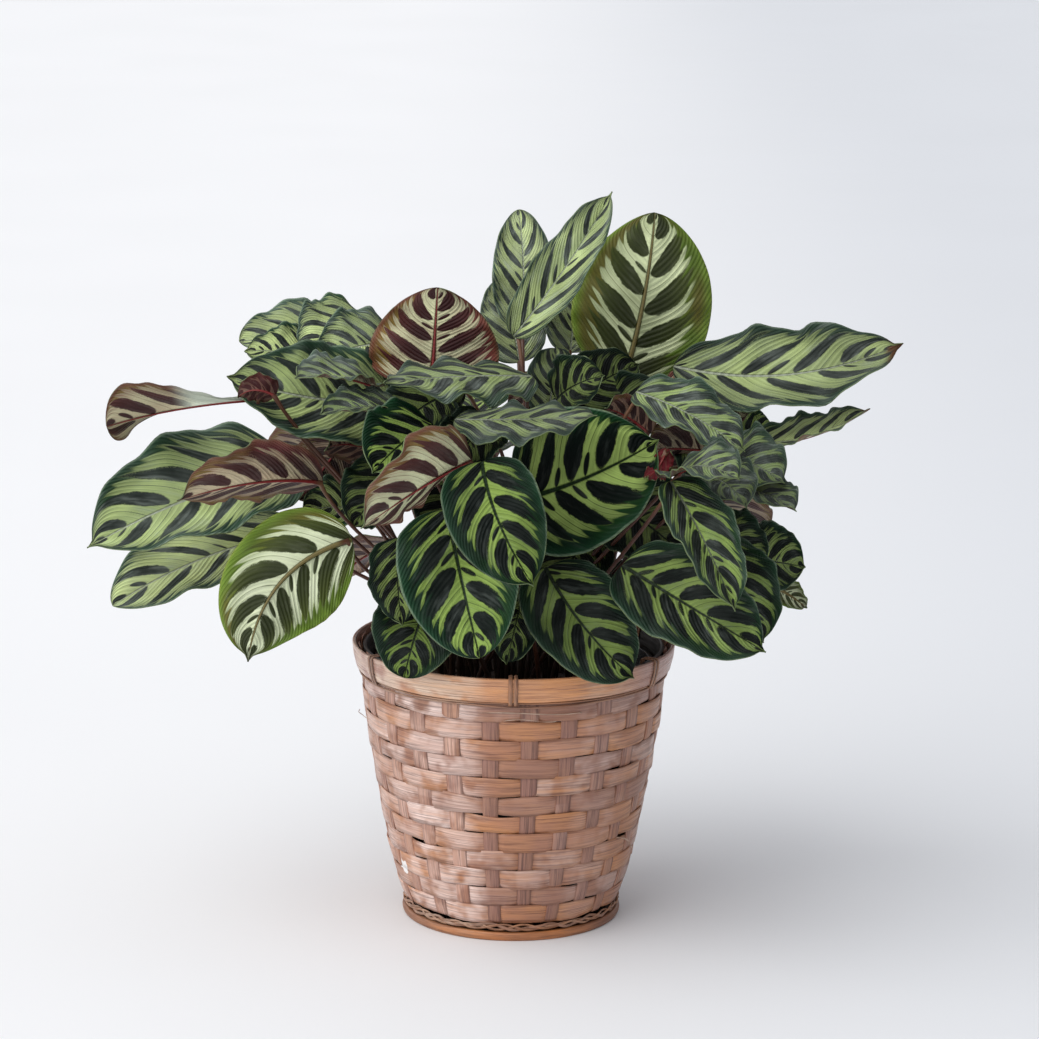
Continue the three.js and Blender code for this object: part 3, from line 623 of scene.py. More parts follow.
    leafRow("inner_mid", (-14, -28, 306), (-42, -58, 282), 40, shoot="top_gray",
            facing=(-0.1, -0.85, 0.5), shade=0.45),
    leafRow("inner_right", (51, -20, 262), (103, -45, 229), 60, shoot="center_big",
            facing=(0.1, -0.85, 0.5), shade=0.5, border=0.32),
    leafRow("inner_low_left", (-67, -20, 277), (-95, -45, 246), 46, shoot="left_behind",
            facing=(-0.1, -0.8, 0.6), shade=0.5),
    leafRow("inner_low_mid", (46, -25, 240), (18, -50, 204), 48, shoot="pot_right",
            facing=(0, -0.85, 0.5), shade=0.5, border=0.32),
    leafRow("inner_low_right", (64, -20, 223), (104, -45, 194), 50, shoot="right_low",
            facing=(0.1, -0.85, 0.5), shade=0.5, border=0.32),
    leafRow("inner_top", (19, 30, 301), (24, 45, 340), 36, shoot="upright_left", facing=(0.1, -1, 0.2),
            pale=0.7, sheen=0.3, shade=0.75),
    leafRow("inner_far_right", (105, 20, 288), (134, 0, 256), 46, shoot="right_narrow",
            facing=(0.1, -0.8, 0.6), shade=0.6),
    leafRow("inner_behind", (-27, 0, 272), (-50, -20, 234), 50, shoot="front_low",
            facing=(0, -0.85, 0.5), shade=0.45),
    leafRow("inner_far_left", (-103, 20, 286), (-129, 0, 253), 46, shoot="left_behind",
            facing=(-0.1, 0.9, -0.4), under=True, pale=0.3, shade=0.6),
    leafRow("crimson_bud", (88, -70, 300), (76, -84, 286), 13, shoot="right_sheen",
            facing=(0.3, 0.9, -0.2), under=True, shade=1.0, blush=0.85),
    leafRow("neck_curl", (-140, -48, 325), (-162, -45, 323), 19, shoot="far_left_twisted",
            facing=(0, 1, 0.1), under=True, arch=-3, sweep=5, widest=0.32, pale=0.1, shade=0.65,
            blush=0.25),
    leafRow("inner_top_left", (-114, 60, 323), (-166, 62, 332), 40, shoot="top_left_a",
            facing=(-0.1, -0.6, 0.75), pale=0.85, shade=1.1, border=0.15),
    leafRow("inner_arch", (32, 38, 306), (74, 38, 331), 42, shoot="dark_arch", facing=(0, -0.9, 0.5),
            arch=8, shade=0.35),
    leafRow("inner_high", (24, -5, 316), (52, -20, 334), 40, shoot="dark_arch", facing=(0, -0.8, 0.6),
            shade=0.5),
    leafRow("inner_high_left", (-30, 20, 318), (-58, 5, 342), 44, shoot="brown_fan",
            facing=(0, -0.85, 0.5), shade=0.55),
]

# the blades, in millimetres
bladeMake = {
    "thickness": 0.6,
    "columns": 28,
    "rows": 54,
    "endRows": 0.65,  # share of the rows that gather at the two ends
    "ruffle": 1.3,  # height of the fine ripples at the margin
    "ruffles": 5.5,  # how many there are from base to tip
    "pleat": 0.35,  # height of the pleats that follow the veins
    "channel": 0.5,  # depth of the channel over the midrib
    "channelWidth": 1.6,
    "neckHalf": 0.9,  # least half width near the stem
    "pointHalf": 0.3,  # and near the tip
}

# the stems, in millimetres
stemMake = {
    "soilTop": 140,
    "sink": 8,  # how deep a stem goes into the soil
    "spacing": 7,  # how far apart the stems stand
    "goldenAngle": 2.39996,  # the turn from each stem's foot to the next, radians
    "footRadius": 1.7,
    "neckRadius": 1.15,
    "jointRadius": 1.6,
    "jointLength": 9,
    "jointDrop": 1.5,  # how far the joint hangs below the blade
    "meets": 0.03,  # place on the midrib where the stem meets the blade
    "ribRadius": 0.85,
    "ribEnd": 0.93,  # place on the midrib where the rib under the blade runs out
    "steps": 18,
    "ribSteps": 14,
    "sides": 8,
}
goldenShare = 0.618034  # steps of this share keep the leaves' seeds apart


def widthAt(leaf, t):
    # share of the full width: an oval, which is drawn out to a point unless the leaf is blunt
    power = math.log(0.5) / math.log(leaf["widest"])
    along = t if leaf["blunt"] else min(t / 0.965, 1)
    oval = max(1 - abs(2 * along ** power - 1) ** 2.2, 0) ** 0.62
    point = 4 * max(1 - t, 0) ** 1.2 if t > 0.8 and not leaf["blunt"] else 0
    return max(oval, point)


def midribAt(leaf, t):
    base = Vector(leaf["base"])
    run = Vector(leaf["tip"]) - base
    axis = run.normalized()
    up = Vector(leaf["facing"])
    up = (up - axis * up.dot(axis)).normalized()
    side = up.cross(axis)
    rise = 4 * t * (1 - t)
    slope = 4 * (1 - 2 * t)
    point = base + run * t + up * (leaf["arch"] * rise) + side * (leaf["sweep"] * rise)
    tangent = (run + up * (leaf["arch"] * slope) + side * (leaf["sweep"] * slope)).normalized()
    normal = (up - tangent * up.dot(tangent)).normalized()
    return point, tangent, normal, normal.cross(tangent)


def endsAt(t):
    # 0 at the base and the tip, 1 half-way
    return math.sqrt(max(math.sin(math.pi * t), 0))


def fineRelief(leaf, t, w, half):
    # ruffles at the margin, pleats that follow the veins and a channel over the midrib
    reach = abs(w)
    side = 1 if w >= 0 else -1
    ruffles = bladeMake["ruffles"] + 2 * leaf["seed"]
    ruffle = math.sin(2 * math.pi * ruffles * t + side * 2.3 + leaf["seed"] * 9)
    lift = bladeMake["ruffle"] * reach ** 4 * ruffle
    pinch = 1 - leafMarks["tipPinch"] * (1 - math.sqrt(max(4 * t * (1 - t), 0.02)))
    veinPlace = t - (leafMarks["slant"] * reach + leafMarks["curl"] * reach ** 2.5) * pinch
    turn = veinPlace * leafMarks["ovals"] + (0.5 if w > 0 else 0) + leaf["seed"] * 5
    lift += bladeMake["pleat"] * math.sin(math.pi * min(reach, 1)) * math.cos(2 * math.pi * turn)
    return lift - bladeMake["channel"] * math.exp(-((reach * half / bladeMake["channelWidth"]) ** 2))


def bladePoint(leaf, t, w):
    # w runs across the blade from -1 to 1, t from its base to its tip
    point, _, normal, across = midribAt(leaf, t)
    least = bladeMake["neckHalf"] if t < 0.5 else bladeMake["pointHalf"]
    half = max(leaf["width"] / 2 * widthAt(leaf, t), least)
    foldTip = leaf.get("foldTip", leaf["fold"])
    fold = math.radians(leaf["fold"] + (foldTip - leaf["fold"]) * t ** leaf["foldPower"])
    cup = math.radians(leaf["cup"])
    reach = abs(w)
    angle = fold + cup * reach
    side = 1 if w >= 0 else -1
    out = half * (math.sin(angle) - math.sin(fold)) / cup
    ripple = leaf["wave"] * reach ** 2 * math.sin(2 * math.pi * leaf["waves"] * t + side * 1.1)
    lift = half * (math.cos(fold) - math.cos(angle)) / cup
    lift += endsAt(t) * (ripple + fineRelief(leaf, t, w, half))
    return point + across * (out * side) + normal * lift


def newPiece(name, bm, materials, smooth=True):
    mesh = bpy.data.meshes.new(name)
    bm.to_mesh(mesh)
    bm.free()
    for polygon in mesh.polygons:
        polygon.use_smooth = smooth
    piece = bpy.data.objects.new(name, mesh)
    bpy.context.scene.collection.objects.link(piece)
    for material in materials:
        mesh.materials.append(material)
    return piece


def thicken(piece, thickness):
    # a sheet gets its thickness, half of it on either side
    thick = piece.modifiers.new("thickness", "SOLIDIFY")
    thick.thickness = thickness * mm
    thick.offset = 0
    return thick


def bakeModifiers(piece):
    # the modifiers become plain mesh
    graph = bpy.context.evaluated_depsgraph_get()
    shaped = piece.evaluated_get(graph)
    mesh = bpy.data.meshes.new_from_object(shaped, preserve_all_data_layers=True, depsgraph=graph)
    piece.modifiers.clear()
    old = piece.data
    piece.data = mesh
    bpy.data.meshes.remove(old)


def alongBlade(s):
    # a row of the grid, -1 to 1, as its place on the midrib, 0 to 1
    ends = bladeMake["endRows"]
    return 0.5 + 0.5 * ((1 - ends) * s + ends * math.sin(math.pi / 2 * s))


def bladeMesh(leaf):
    # a flat grid, mapped, then moved into the leaf's shape and given its thickness
    bm = bmesh.new()
    bmesh.ops.create_grid(bm, x_segments=bladeMake["columns"], y_segments=bladeMake["rows"], size=1)
    leafMap = bm.loops.layers.uv.new("leafMap")
    for face in bm.faces:
        for loop in face.loops:
            place = loop.vert.co
            loop[leafMap].uv = (0.5 + 0.5 * place.x, alongBlade(place.y))
    for vert in bm.verts:
        t = min(max(alongBlade(vert.co.y), 0), 1)
        vert.co = bladePoint(leaf, t, vert.co.x) * mm
    bmesh.ops.recalc_face_normals(bm, faces=bm.faces)
    middle = midribAt(leaf, 0.5)[2]
    if sum(face.normal.dot(middle) * face.calc_area() for face in bm.faces) < 0:
        bmesh.ops.reverse_faces(bm, faces=bm.faces)
    blade = newPiece("blade", bm, [leafTop] * 4)
    thick = thicken(blade, bladeMake["thickness"])
    thick.material_offset = 1
    thick.material_offset_rim = 2
    bakeModifiers(blade)
    mesh = blade.data
    bpy.data.objects.remove(blade)
    return mesh


def cornersOf(bm, faces):
    # the vertices of these faces, in the order in which they were made
    corners = {vert for face in faces for vert in face.verts}
    return [vert for vert in bm.verts if vert in corners]


def sweepTube(bm, rings, sides, layer=None, material=0):
    # each ring is a centre, its radius to the side, its other radius and the layer's value there;
    # the first may also say which way the side is, and the section follows the centres without twisting
    centres = [ring[0] for ring in rings]
    earlier = centres[:1] + centres[:-1]
    later = centres[1:] + centres[-1:]
    tangents = [(end - start).normalized() for start, end in zip(earlier, later)]
    side = rings[0][4] if len(rings[0]) > 4 else tangents[0].orthogonal().normalized()
    before = set(bm.faces)
    last = None
    frameBefore = None
    edges = []
    for (centre, wide, thin, value, *_), tangent in zip(rings, tangents):
        side = (side - tangent * side.dot(tangent)).normalized()
        other = tangent.cross(side)
        turned = Matrix((side * wide, other * thin, tangent * wide)).transposed().to_4x4()
        turned.translation = centre
        if last is None:
            made = bmesh.ops.create_circle(bm, cap_ends=True, segments=sides, radius=1, matrix=turned)
            last = made["verts"]
            edges = list(last[0].link_faces[0].edges)
        else:
            made = bmesh.ops.extrude_edge_only(bm, edges=edges)["geom"]
            last = [item for item in made if isinstance(item, bmesh.types.BMVert)]
            edges = [edge for edge in made if isinstance(edge, bmesh.types.BMEdge)
                     and all(vert in last for vert in edge.verts)]
            bmesh.ops.transform(bm, matrix=turned @ frameBefore.inverted(), verts=last)
        if layer:
            for vert in last:
                vert[layer] = value
        frameBefore = turned
    bmesh.ops.contextual_create(bm, geom=edges)
    fresh = [face for face in bm.faces if face not in before]
    for face in fresh:
        face.material_index = material
        face.smooth = True
    bmesh.ops.recalc_face_normals(bm, faces=fresh)
    return fresh


def stemCurve(leaf):
    # the four points of the stem's curve, from the soil up to the blade, and the blade's normal there
    reach = stemMake["spacing"] * math.sqrt(leaf["root"] + 0.5)
    angle = stemMake["goldenAngle"] * leaf["root"]
    foot = stemMake["soilTop"] - stemMake["sink"]
    root = Vector((reach * math.cos(angle), reach * math.sin(angle), foot))
    end, _, normal, _ = midribAt(leaf, stemMake["meets"])
    span = (end - root).length
    outward = Vector((end.x - root.x, end.y - root.y, 0)).normalized()
    arrival = Vector((0, 0, 0.9)) + outward * 0.5 - normal * 0.15
    if "arrival" in leaf:
        arrival = Vector(leaf["arrival"])
    first = root + Vector((0, 0, 0.35 * span)) + Vector(leaf["bow"])
    second = end - arrival.normalized() * (0.3 * span)
    return root, first, second, end, normal


def stemRings(leaf):
    # up from the soil, swollen below the blade, then on as a rib under it
    make = stemMake
    root, first, second, end, normal = stemCurve(leaf)
    span = (end - root).length
    rings = []
    for step in range(make["steps"] + 1):
        k = (step / make["steps"]) ** 0.85
        point = root * (1 - k) ** 3 + first * (3 * k * (1 - k) ** 2) + second * (3 * k ** 2 * (1 - k))
        point += end * k ** 3
        toJoint = (1 - k) * span * 1.15
        swell = max(0, 1 - (toJoint / make["jointLength"]) ** 2)
        radius = make["footRadius"] + (make["neckRadius"] - make["footRadius"]) * min(1.6 * k, 1)
        radius += (make["jointRadius"] - make["neckRadius"]) * swell
        point -= normal * (make["jointDrop"] * max(0, (k - 0.8) / 0.2) ** 2)
        rings.append((point * mm, radius * mm, radius * mm, k))
    for step in range(1, make["ribSteps"] + 1):
        s = step / make["ribSteps"]
        t = make["meets"] + (make["ribEnd"] - make["meets"]) * s
        point, _, normal, _ = midribAt(leaf, t)
        radius = make["ribRadius"] * (1.6 if leaf["backlit"] else 1) * (1 - 0.8 * s)
        drop = bladeMake["channel"] * endsAt(t) + radius * 0.95
        rings.append(((point - normal * drop) * mm, radius * mm, radius * mm, 1 + s))
    return rings


def prepareLeaves():
    byName = {leaf["name"]: leaf for leaf in leafTable}
    for number, leaf in enumerate(leafTable):
        leaf["seed"] = number * goldenShare % 1
        leaf["root"] = byName[leaf["shoot"]]["stem"] if "shoot" in leaf else leaf["stem"]


def buildLeaf(leaf, shoots):
    # materials by number: 0 upper side, 1 underside, 2 edge, 3 stem, 4 underside of a backlit shoot
    bm = bmesh.new()
    layers = {label: bm.verts.layers.float.new(label) for label in (*leafLayers, "glow", "along")}
    for part in [leaf] + shoots:
        before = set(bm.verts)
        mesh = bladeMesh(part)
        bm.from_mesh(mesh)
        bpy.data.meshes.remove(mesh)
        sweepTube(bm, stemRings(part), stemMake["sides"], layers["along"], material=3)
        for vert in bm.verts:
            if vert not in before:
                for label in leafLayers:
                    vert[layers[label]] = part[label]
                vert[layers["glow"]] = 1.0 if part["backlit"] else 0.0
        if part is not leaf:
            under = 4 if part["backlit"] else 1
            for face in bm.faces:
                if face.material_index == 1 and all(vert not in before for vert in face.verts):
                    face.material_index = under
    # a backlit leaf's underside takes the painted backlight colours
    underside = leafGlow if leaf["backlit"] else leafUnder
    materials = [leafTop, underside, leafEdge, leafStem, leafGlow]
    return newPiece("leaf_" + leaf["name"] + "_grown", bm, materials)


prepareLeaves()
for leaf in leafTable:
    if "shoot" not in leaf:
        shoots = [other for other in leafTable if other.get("shoot") == leaf["name"]]
        piece = buildLeaf(leaf, shoots)
        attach(piece, "root")
        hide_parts("leaf_" + leaf["name"])
print("leaves:", len(leafTable))


def buildSplintGrain():
    # along and across are metres on the strip; fibre, streak and height are drawn out along it
    tree, inlet, outlet = newGroup(
        "splintGrain",
        [(label, "NodeSocketFloat", 0.0) for label in ("along", "across", "seed")],
        ("fibre", "streak", "patch", "height"),
    )
    along, across, seed = inlet["along"], inlet["across"], inlet["seed"]
    fibre = noise(vector(along * 40.0, across * 1300.0, seed), 1.0, 3.0, 0.65)
    streak = noise(vector(along * 18.0, across * 480.0, seed), 1.0)
    patch = noise(vector(along * 40.0, across * 70.0, seed), 1.0)
    plug(ramp(fibre, 0.35, 0.65), outlet["fibre"])
    plug(ramp(streak, 0.35, 0.65), outlet["streak"])
    plug(ramp(patch, 0.38, 0.62), outlet["patch"])
    plug(fibre * 0.6 + streak * 0.5, outlet["height"])
    return tree


splintGrain = buildSplintGrain()

# paleShare is the share of pale blocks at random; the share after it is how strongly the painted
# highlight shows
splintFinishes = {
    "weaverSplint": {
        "base": paint(0.69, 0.48, 0.385), "warm": paint(0.79, 0.545, 0.36),
        "mauve": paint(0.58, 0.43, 0.385), "pale": paint(1.0, 0.90, 0.86),
        "line": paint(0.40, 0.24, 0.18), "paleShare": 0.4, "paintedHighlightShare": 1.0, "roughness": 0.30,
    },
    "stakeSplint": {
        "base": paint(0.66, 0.46, 0.39), "warm": paint(0.73, 0.52, 0.39),
        "mauve": paint(0.56, 0.41, 0.37), "pale": paint(0.92, 0.76, 0.69),
        "line": paint(0.30, 0.19, 0.17), "paleShare": 0.25, "paintedHighlightShare": 0.8, "roughness": 0.42,
    },
    "rimSplint": {
        "base": paint(0.85, 0.62, 0.45), "warm": paint(0.90, 0.62, 0.38),
        "mauve": paint(0.70, 0.56, 0.52), "pale": paint(0.99, 0.91, 0.82),
        "line": paint(0.48, 0.27, 0.17), "paleShare": 0.7, "paintedHighlightShare": 1.0, "roughness": 0.25,
    },
    "caneStrand": {
        "base": paint(0.64, 0.48, 0.38), "warm": paint(0.70, 0.48, 0.33),
        "mauve": paint(0.52, 0.39, 0.35), "pale": paint(0.93, 0.86, 0.78),
        "line": paint(0.32, 0.21, 0.16), "paleShare": 0.85, "paintedHighlightShare": 0.5, "roughness": 0.40,
    },
    "hoopSplint": {
        "base": paint(0.68, 0.44, 0.28), "warm": paint(0.76, 0.48, 0.27),
        "mauve": paint(0.54, 0.36, 0.27), "pale": paint(0.82, 0.63, 0.46),
        "line": paint(0.36, 0.21, 0.13), "paleShare": 0.25, "paintedHighlightShare": 0.3, "roughness": 0.38,
    },
    # painted shade: the inner band is painted near black, as it lies in the shade inside the basket
    "shadedSplint": {
        "base": paint(0.16, 0.11, 0.09), "warm": paint(0.19, 0.12, 0.09),
        "mauve": paint(0.13, 0.10, 0.09), "pale": paint(0.26, 0.21, 0.18),
        "line": paint(0.07, 0.05, 0.04), "paleShare": 0.3, "paintedHighlightShare": 0.0, "roughness": 0.40,
    },
}

paintedHighlightBands = [
    # painted highlight: sides of the basket where the varnish is painted pale as if it shone, how wide
    # each band is and how strong
    {"side": (-0.60, -0.80), "fades": 0.87, "full": 0.965, "strength": 1.0},
    {"side": (-0.80, -0.60), "fades": 0.68, "full": 0.93, "strength": 0.65},
    {"side": (0.60, -0.80), "fades": 0.970, "full": 0.996, "strength": 0.30},
]
# a chip of bare white on one weaver, in metres
scuff = {"place": (-0.0639, -0.0346, 0.0366), "reach": 0.0050, "color": paint(0.93, 0.92, 0.91)}


def facingSide(x, y, side):
    # 1 on the part of the basket that faces the given side, 0 a quarter turn away from it
    reach = mathNode("SQRT", x * x + y * y)
    return (x * side[0] + y * side[1]) / larger(reach, 0.001)


def paintedHighlightOn(x, y, block):
    # painted highlight: how pale the varnish is painted where it would shine, a little less on some
    # blocks than on others
    gloss = 0.0
    for band in paintedHighlightBands:
        facing = facingSide(x, y, band["side"])
        gloss = larger(gloss, ramp(facing, band["fades"], band["full"], 0.0, band["strength"]))
    return gloss * ramp(block, 0.1, 0.8, 0.55, 1.0)


def withScuff(color, place):
    # the chip is ragged at its edge
    apart = nodeFor((place, scuff["place"]), "ShaderNodeVectorMath", operation="DISTANCE")
    ragged = noise(place, 350.0) * 0.009 - 0.0045
    bare = ramp(Value(apart.outputs["Value"]) + ragged, scuff["reach"], scuff["reach"] * 0.8)
    return blendColor(bare, color, scuff["color"])


def splintMaterial(name, mapped):
    # the grain follows the strip's own map where it has one, and runs around the basket elsewhere
    finish = splintFinishes[name]
    material, tree, shader = newMaterial(name)
    place = objectPlace(tree)
    x, y, z = split(place)
    if mapped:
        along, across, _ = split(mapPlace(tree, "stripMap"))
        seed = attribute(tree, "strip")
        block = attribute(tree, "block")
        other = speck(vector(block * 57.0, 0.5, 0.5))
        # a mauve tone that differs at random from strip to strip
        mauveToneAndSideShade = ramp(seed, 0.2, 0.9, 0.0, 0.5)
    else:
        along = mathNode("ARCTAN2", x, y * -1.0) * 0.09
        across = z
        seed = 0.0
        block = other = noise(place, 18.0)
        # painted shade: without a map the band is painted duller mauve on the sides that turn away from
        # the front
        mauveToneAndSideShade = ramp(facingSide(x, y, (0.0, -1.0)), 0.90, 0.55, 0.0, 0.9)
    grain = useGroup(tree, splintGrain, along=along, across=across, seed=seed * 91.0)
    streak = grain["streak"]
    color = blendColor(grain["patch"] * 0.5 + other * 0.5, finish["base"], finish["warm"])
    color = blendColor(mauveToneAndSideShade, color, finish["mauve"])
    color = blendColor(ramp(block, 0.0, 1.0, 0.0, 0.45) * streak, color, finish["mauve"])
    # pale blocks at random, and the painted highlight on the sides where the varnish would shine
    pale = ramp(block, 0.45, 1.0) * finish["paleShare"]
    pale = larger(pale, paintedHighlightOn(x, y, block) * finish["paintedHighlightShare"])
    spread = ramp(noise(vector(along, across, seed), 70.0), 0.32, 0.58)
    color = blendColor(pale * spread * (streak * 0.40 + 0.60), color, finish["pale"])
    color = blendColor(grain["fibre"] * (streak * 0.50 + 0.22), color, finish["line"])
    if name == "weaverSplint":
        color = withScuff(color, place)
    shader.inputs["Specular IOR Level"].default_value = 0.6
    finishWith(shader, color, streak * 0.16 + finish["roughness"], grain["height"], 0.0005)
    return material


weaverSplint = splintMaterial("weaverSplint", True)
stakeSplint = splintMaterial("stakeSplint", True)
caneStrand = splintMaterial("caneStrand", True)
rimSplint = splintMaterial("rimSplint", False)
hoopSplint = splintMaterial("hoopSplint", False)
shadedSplint = splintMaterial("shadedSplint", False)

# the woven wall, in millimetres
basketMake = {
    "height": 169,
    "taper": 0.181,
    "rimHeight": 15,
    "wallBottom": 11.35,
    "weaveTop": 153.65,
    "wallTop": 168,
    "wallMiddle": 92.9,  # middle of the wall's thickness at the rim's top
    "belly": 4.0,  # how far the wall swells between the foot and the rim
    "stakes": 24,
    "rows": 12,
    "stakeTurn": math.radians(-90 + 6.4),  # where the first stake stands
    "stakeWidth": 11,
    "footNarrow": 0.72,  # share of its width that a stake keeps at the foot
    "narrowOver": 142,  # height over which it reaches its full width
    "weaverWidth": 12.3,
    "stripThickness": 0.6,
    "swing": 0.40,  # how far weavers and stakes pass each other
    "rimSwing": 0.6,  # how far a stake leans in behind the rim
    "dive": 0.62,  # a weaver stays on top until it is close to the stake that covers it
    "gap": 0.24,  # share of its width that a weaver loses where it is slimmest
}
rowHeight = (basketMake["weaveTop"] - basketMake["wallBottom"]) / basketMake["rows"]
stakePitch = math.tau / basketMake["stakes"]


def wallRadius(z):
    make = basketMake
    cone = make["wallMiddle"] - make["taper"] * (make["height"] - z)
    upward = (z - make["wallBottom"]) / (make["weaveTop"] - make["wallBottom"])
    return cone + make["belly"] * max(0, 1 - (2 * upward - 1) ** 4)


def onBasket(radius, angle, z):
    return Vector((radius * math.cos(angle), radius * math.sin(angle), z)) * mm


def overUnder(phase, sharpness, early=0.0):
    # 1 on top, -1 underneath; early makes the stretch on top longer
    return math.tanh(sharpness * (math.cos(phase) + early))


def blockTone(x, blocks, seed):
    # each stretch of a strip that shows between two crossings has a tone of its own
    count, shift = blocks
    number = math.floor((x + 1) / 2 * count + shift) % count
    return random.Random(int(seed * 9973) * 100 + number).random()


def stripGrid(columns, rows, seed, shape, mapSize, blocks):
    # a flat grid that becomes one strip of splint: x runs along it and y across it, from -1 to 1
    bm = bmesh.new()
    bmesh.ops.create_grid(bm, x_segments=columns, y_segments=rows, size=1)
    stripMap = bm.loops.layers.uv.new("stripMap")
    strip = bm.verts.layers.float.new("strip")
    block = bm.verts.layers.float.new("block")
    for face in bm.faces:
        for loop in face.loops:
            along, across = loop.vert.co.x, loop.vert.co.y
            loop[stripMap].uv = (along * mapSize[0] / 2, across * mapSize[1] / 2)
    for vert in bm.verts:
        vert[strip] = seed
        vert[block] = blockTone(vert.co.x, blocks, seed)
        vert.co = shape(vert.co.x, vert.co.y)
    return bm


def outwards(bm):
    # the strip's face that looks away from the basket is the front
    total = 0
    for face in bm.faces:
        middle = face.calc_center_median()
        total += face.normal.dot(Vector((middle.x, middle.y, 0)))
    if total < 0:
        bmesh.ops.reverse_faces(bm, faces=bm.faces)


def joinInto(target, source, material):
    for face in source.faces:
        face.material_index = material
    mesh = bpy.data.meshes.new("part")
    source.to_mesh(mesh)
    source.free()
    target.from_mesh(mesh)
    bpy.data.meshes.remove(mesh)


def weaveRow(row, rng):
    # one weaver, once around the basket
    make = basketMake
    middle = make["wallBottom"] + (row + 0.5) * rowHeight
    start = rng.uniform(0, math.tau)
    lean = [rng.uniform(0.15, 0.5) for _ in range(3)]
    width = make["weaverWidth"] * rng.uniform(0.97, 1.02)
    loose = rng.uniform(0.0, 0.5)

    def weaver(x, y):
        angle = math.pi * (x + 2) + make["stakeTurn"] + stakePitch * 0.5
        phase = (angle - make["stakeTurn"]) / stakePitch * math.pi + math.pi * row
        slim = math.sin(angle * 2 + start) * math.sin(angle * 5 + start * 4)
        slim = 1 - make["gap"] * max(0, slim) ** 2
        z = middle + y * width / 2 * slim
        z += lean[0] * math.sin(angle * 3 + start) + lean[1] * math.sin(angle * 7 + start * 2)
        bulge = overUnder(phase, 6.0, make["dive"])
        twist = lean[2] * 1.6 * y * math.sin(angle * 5 + start)
        radius = wallRadius(z) + make["swing"] * bulge + twist * 0.7 - 0.15 * y ** 4 - 0.10 * y
        radius += loose * max(bulge, 0) * (0.5 + 0.5 * math.sin(angle * 4 + start * 3))
        radius += 0.25 * max(math.cos(phase), 0)
        return onBasket(radius, angle, z)

    mapSize = (math.tau * wallRadius(middle) * mm, width * mm)
    blocks = (make["stakes"] // 2, 0.25 if row % 2 else 0.75)
    bm = stripGrid(make["stakes"] * 12, 4, rng.random(), weaver, mapSize, blocks)
    bmesh.ops.remove_doubles(bm, verts=bm.verts, dist=0.00002)
    outwards(bm)
    return bm


def setStake(stake, rng):
    # one upright stake, from the foot up into the rim
    make = basketMake
    angle = make["stakeTurn"] + stake * stakePitch
    drift = rng.uniform(-0.006, 0.006)
    width = make["stakeWidth"] * rng.uniform(0.94, 1.04)

    def upright(x, y):
        z = make["wallBottom"] + 0.4 + (make["wallTop"] - 1 - make["wallBottom"]) * (x + 1) / 2
        row = (z - make["wallBottom"]) / rowHeight - 0.5
        phase = (row + stake) * math.pi
        reach = make["rimSwing"] if z > make["weaveTop"] else make["swing"]
        radius = wallRadius(z) - reach * overUnder(phase, 4.0) - 0.25 * y * y
        height = (z - make["wallBottom"]) / make["narrowOver"]
        narrow = make["footNarrow"] + (1 - make["footNarrow"]) * height
        turn = angle + drift * math.sin(z * 0.05 + stake) + y * width * narrow / 2 / radius
        return onBasket(radius, turn, z)

    mapSize = ((make["wallTop"] - make["wallBottom"]) * mm, width * mm)
    bm = stripGrid(make["rows"] * 9, 4, rng.random(), upright, mapSize, (7, 0.5))
    outwards(bm)
    return bm


def mapStrand(bm, fresh, shift):
    # the grain of a strand runs along it
    stripMap = bm.loops.layers.uv["stripMap"]
    for face in fresh:
        for loop in face.loops:
            place = loop.vert.co
            around = math.atan2(place.x, -place.y)
            loop[stripMap].uv = (around * 0.09, place.z + math.hypot(place.x, place.y) + shift)


looseFibres = [
    # where a fibre leaves the wall (degrees right of the front, height in mm) and where it ends
    {"from": (54, 59), "to": (68, 49), "lift": 4.0, "radius": 0.42},
    {"from": (-16, 146), "to": (26, 147), "lift": 2.0, "radius": 0.26},
    {"from": (-4, 142), "to": (16, 143), "lift": 2.2, "radius": 0.24},
    {"from": (-74, 124), "to": (-86, 127), "lift": 5.0, "radius": 0.22},
]


def addLooseFibres(bm):
    # thin fibres of cane that stand a little off the wall
    strip = bm.verts.layers.float["strip"]
    block = bm.verts.layers.float["block"]
    steps = 24
    for fibre in looseFibres:
        rings = []
        for step in range(steps + 1):
            k = step / steps
            turn, z = (start + (end - start) * k for start, end in zip(fibre["from"], fibre["to"]))
            z += 1.2 * math.sin(k * 5)
            radius = wallRadius(z) + fibre["lift"] * math.sin(0.75 * math.pi * k) ** 0.6
            thin = fibre["radius"] * mm
            rings.append((onBasket(radius, math.radians(turn - 90), z), thin, thin, 0.5))
        fresh = sweepTube(bm, rings, 6, strip, material=2)
        mapStrand(bm, fresh, 0.4)
        for face in fresh:
            for vert in face.verts:
                vert[block] = 1.0


def buildWall():
    rng = random.Random(11)
    whole = bmesh.new()
    whole.loops.layers.uv.new("stripMap")
    whole.verts.layers.float.new("strip")
    whole.verts.layers.float.new("block")
    for row in range(basketMake["rows"]):
        joinInto(whole, weaveRow(row, rng), 0)
    for stake in range(basketMake["stakes"]):
        joinInto(whole, setStake(stake, rng), 1)
    wall = newPiece("woven_wall", whole, [weaverSplint, stakeSplint, caneStrand])
    thicken(wall, basketMake["stripThickness"])
    bakeModifiers(wall)
    bm = bmesh.new()
    bm.from_mesh(wall.data)
    addLooseFibres(bm)
    bm.to_mesh(wall.data)
    bm.free()
    return wall


wall = buildWall()
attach(wall, "root")
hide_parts("basket_wall")
print("wall woven")

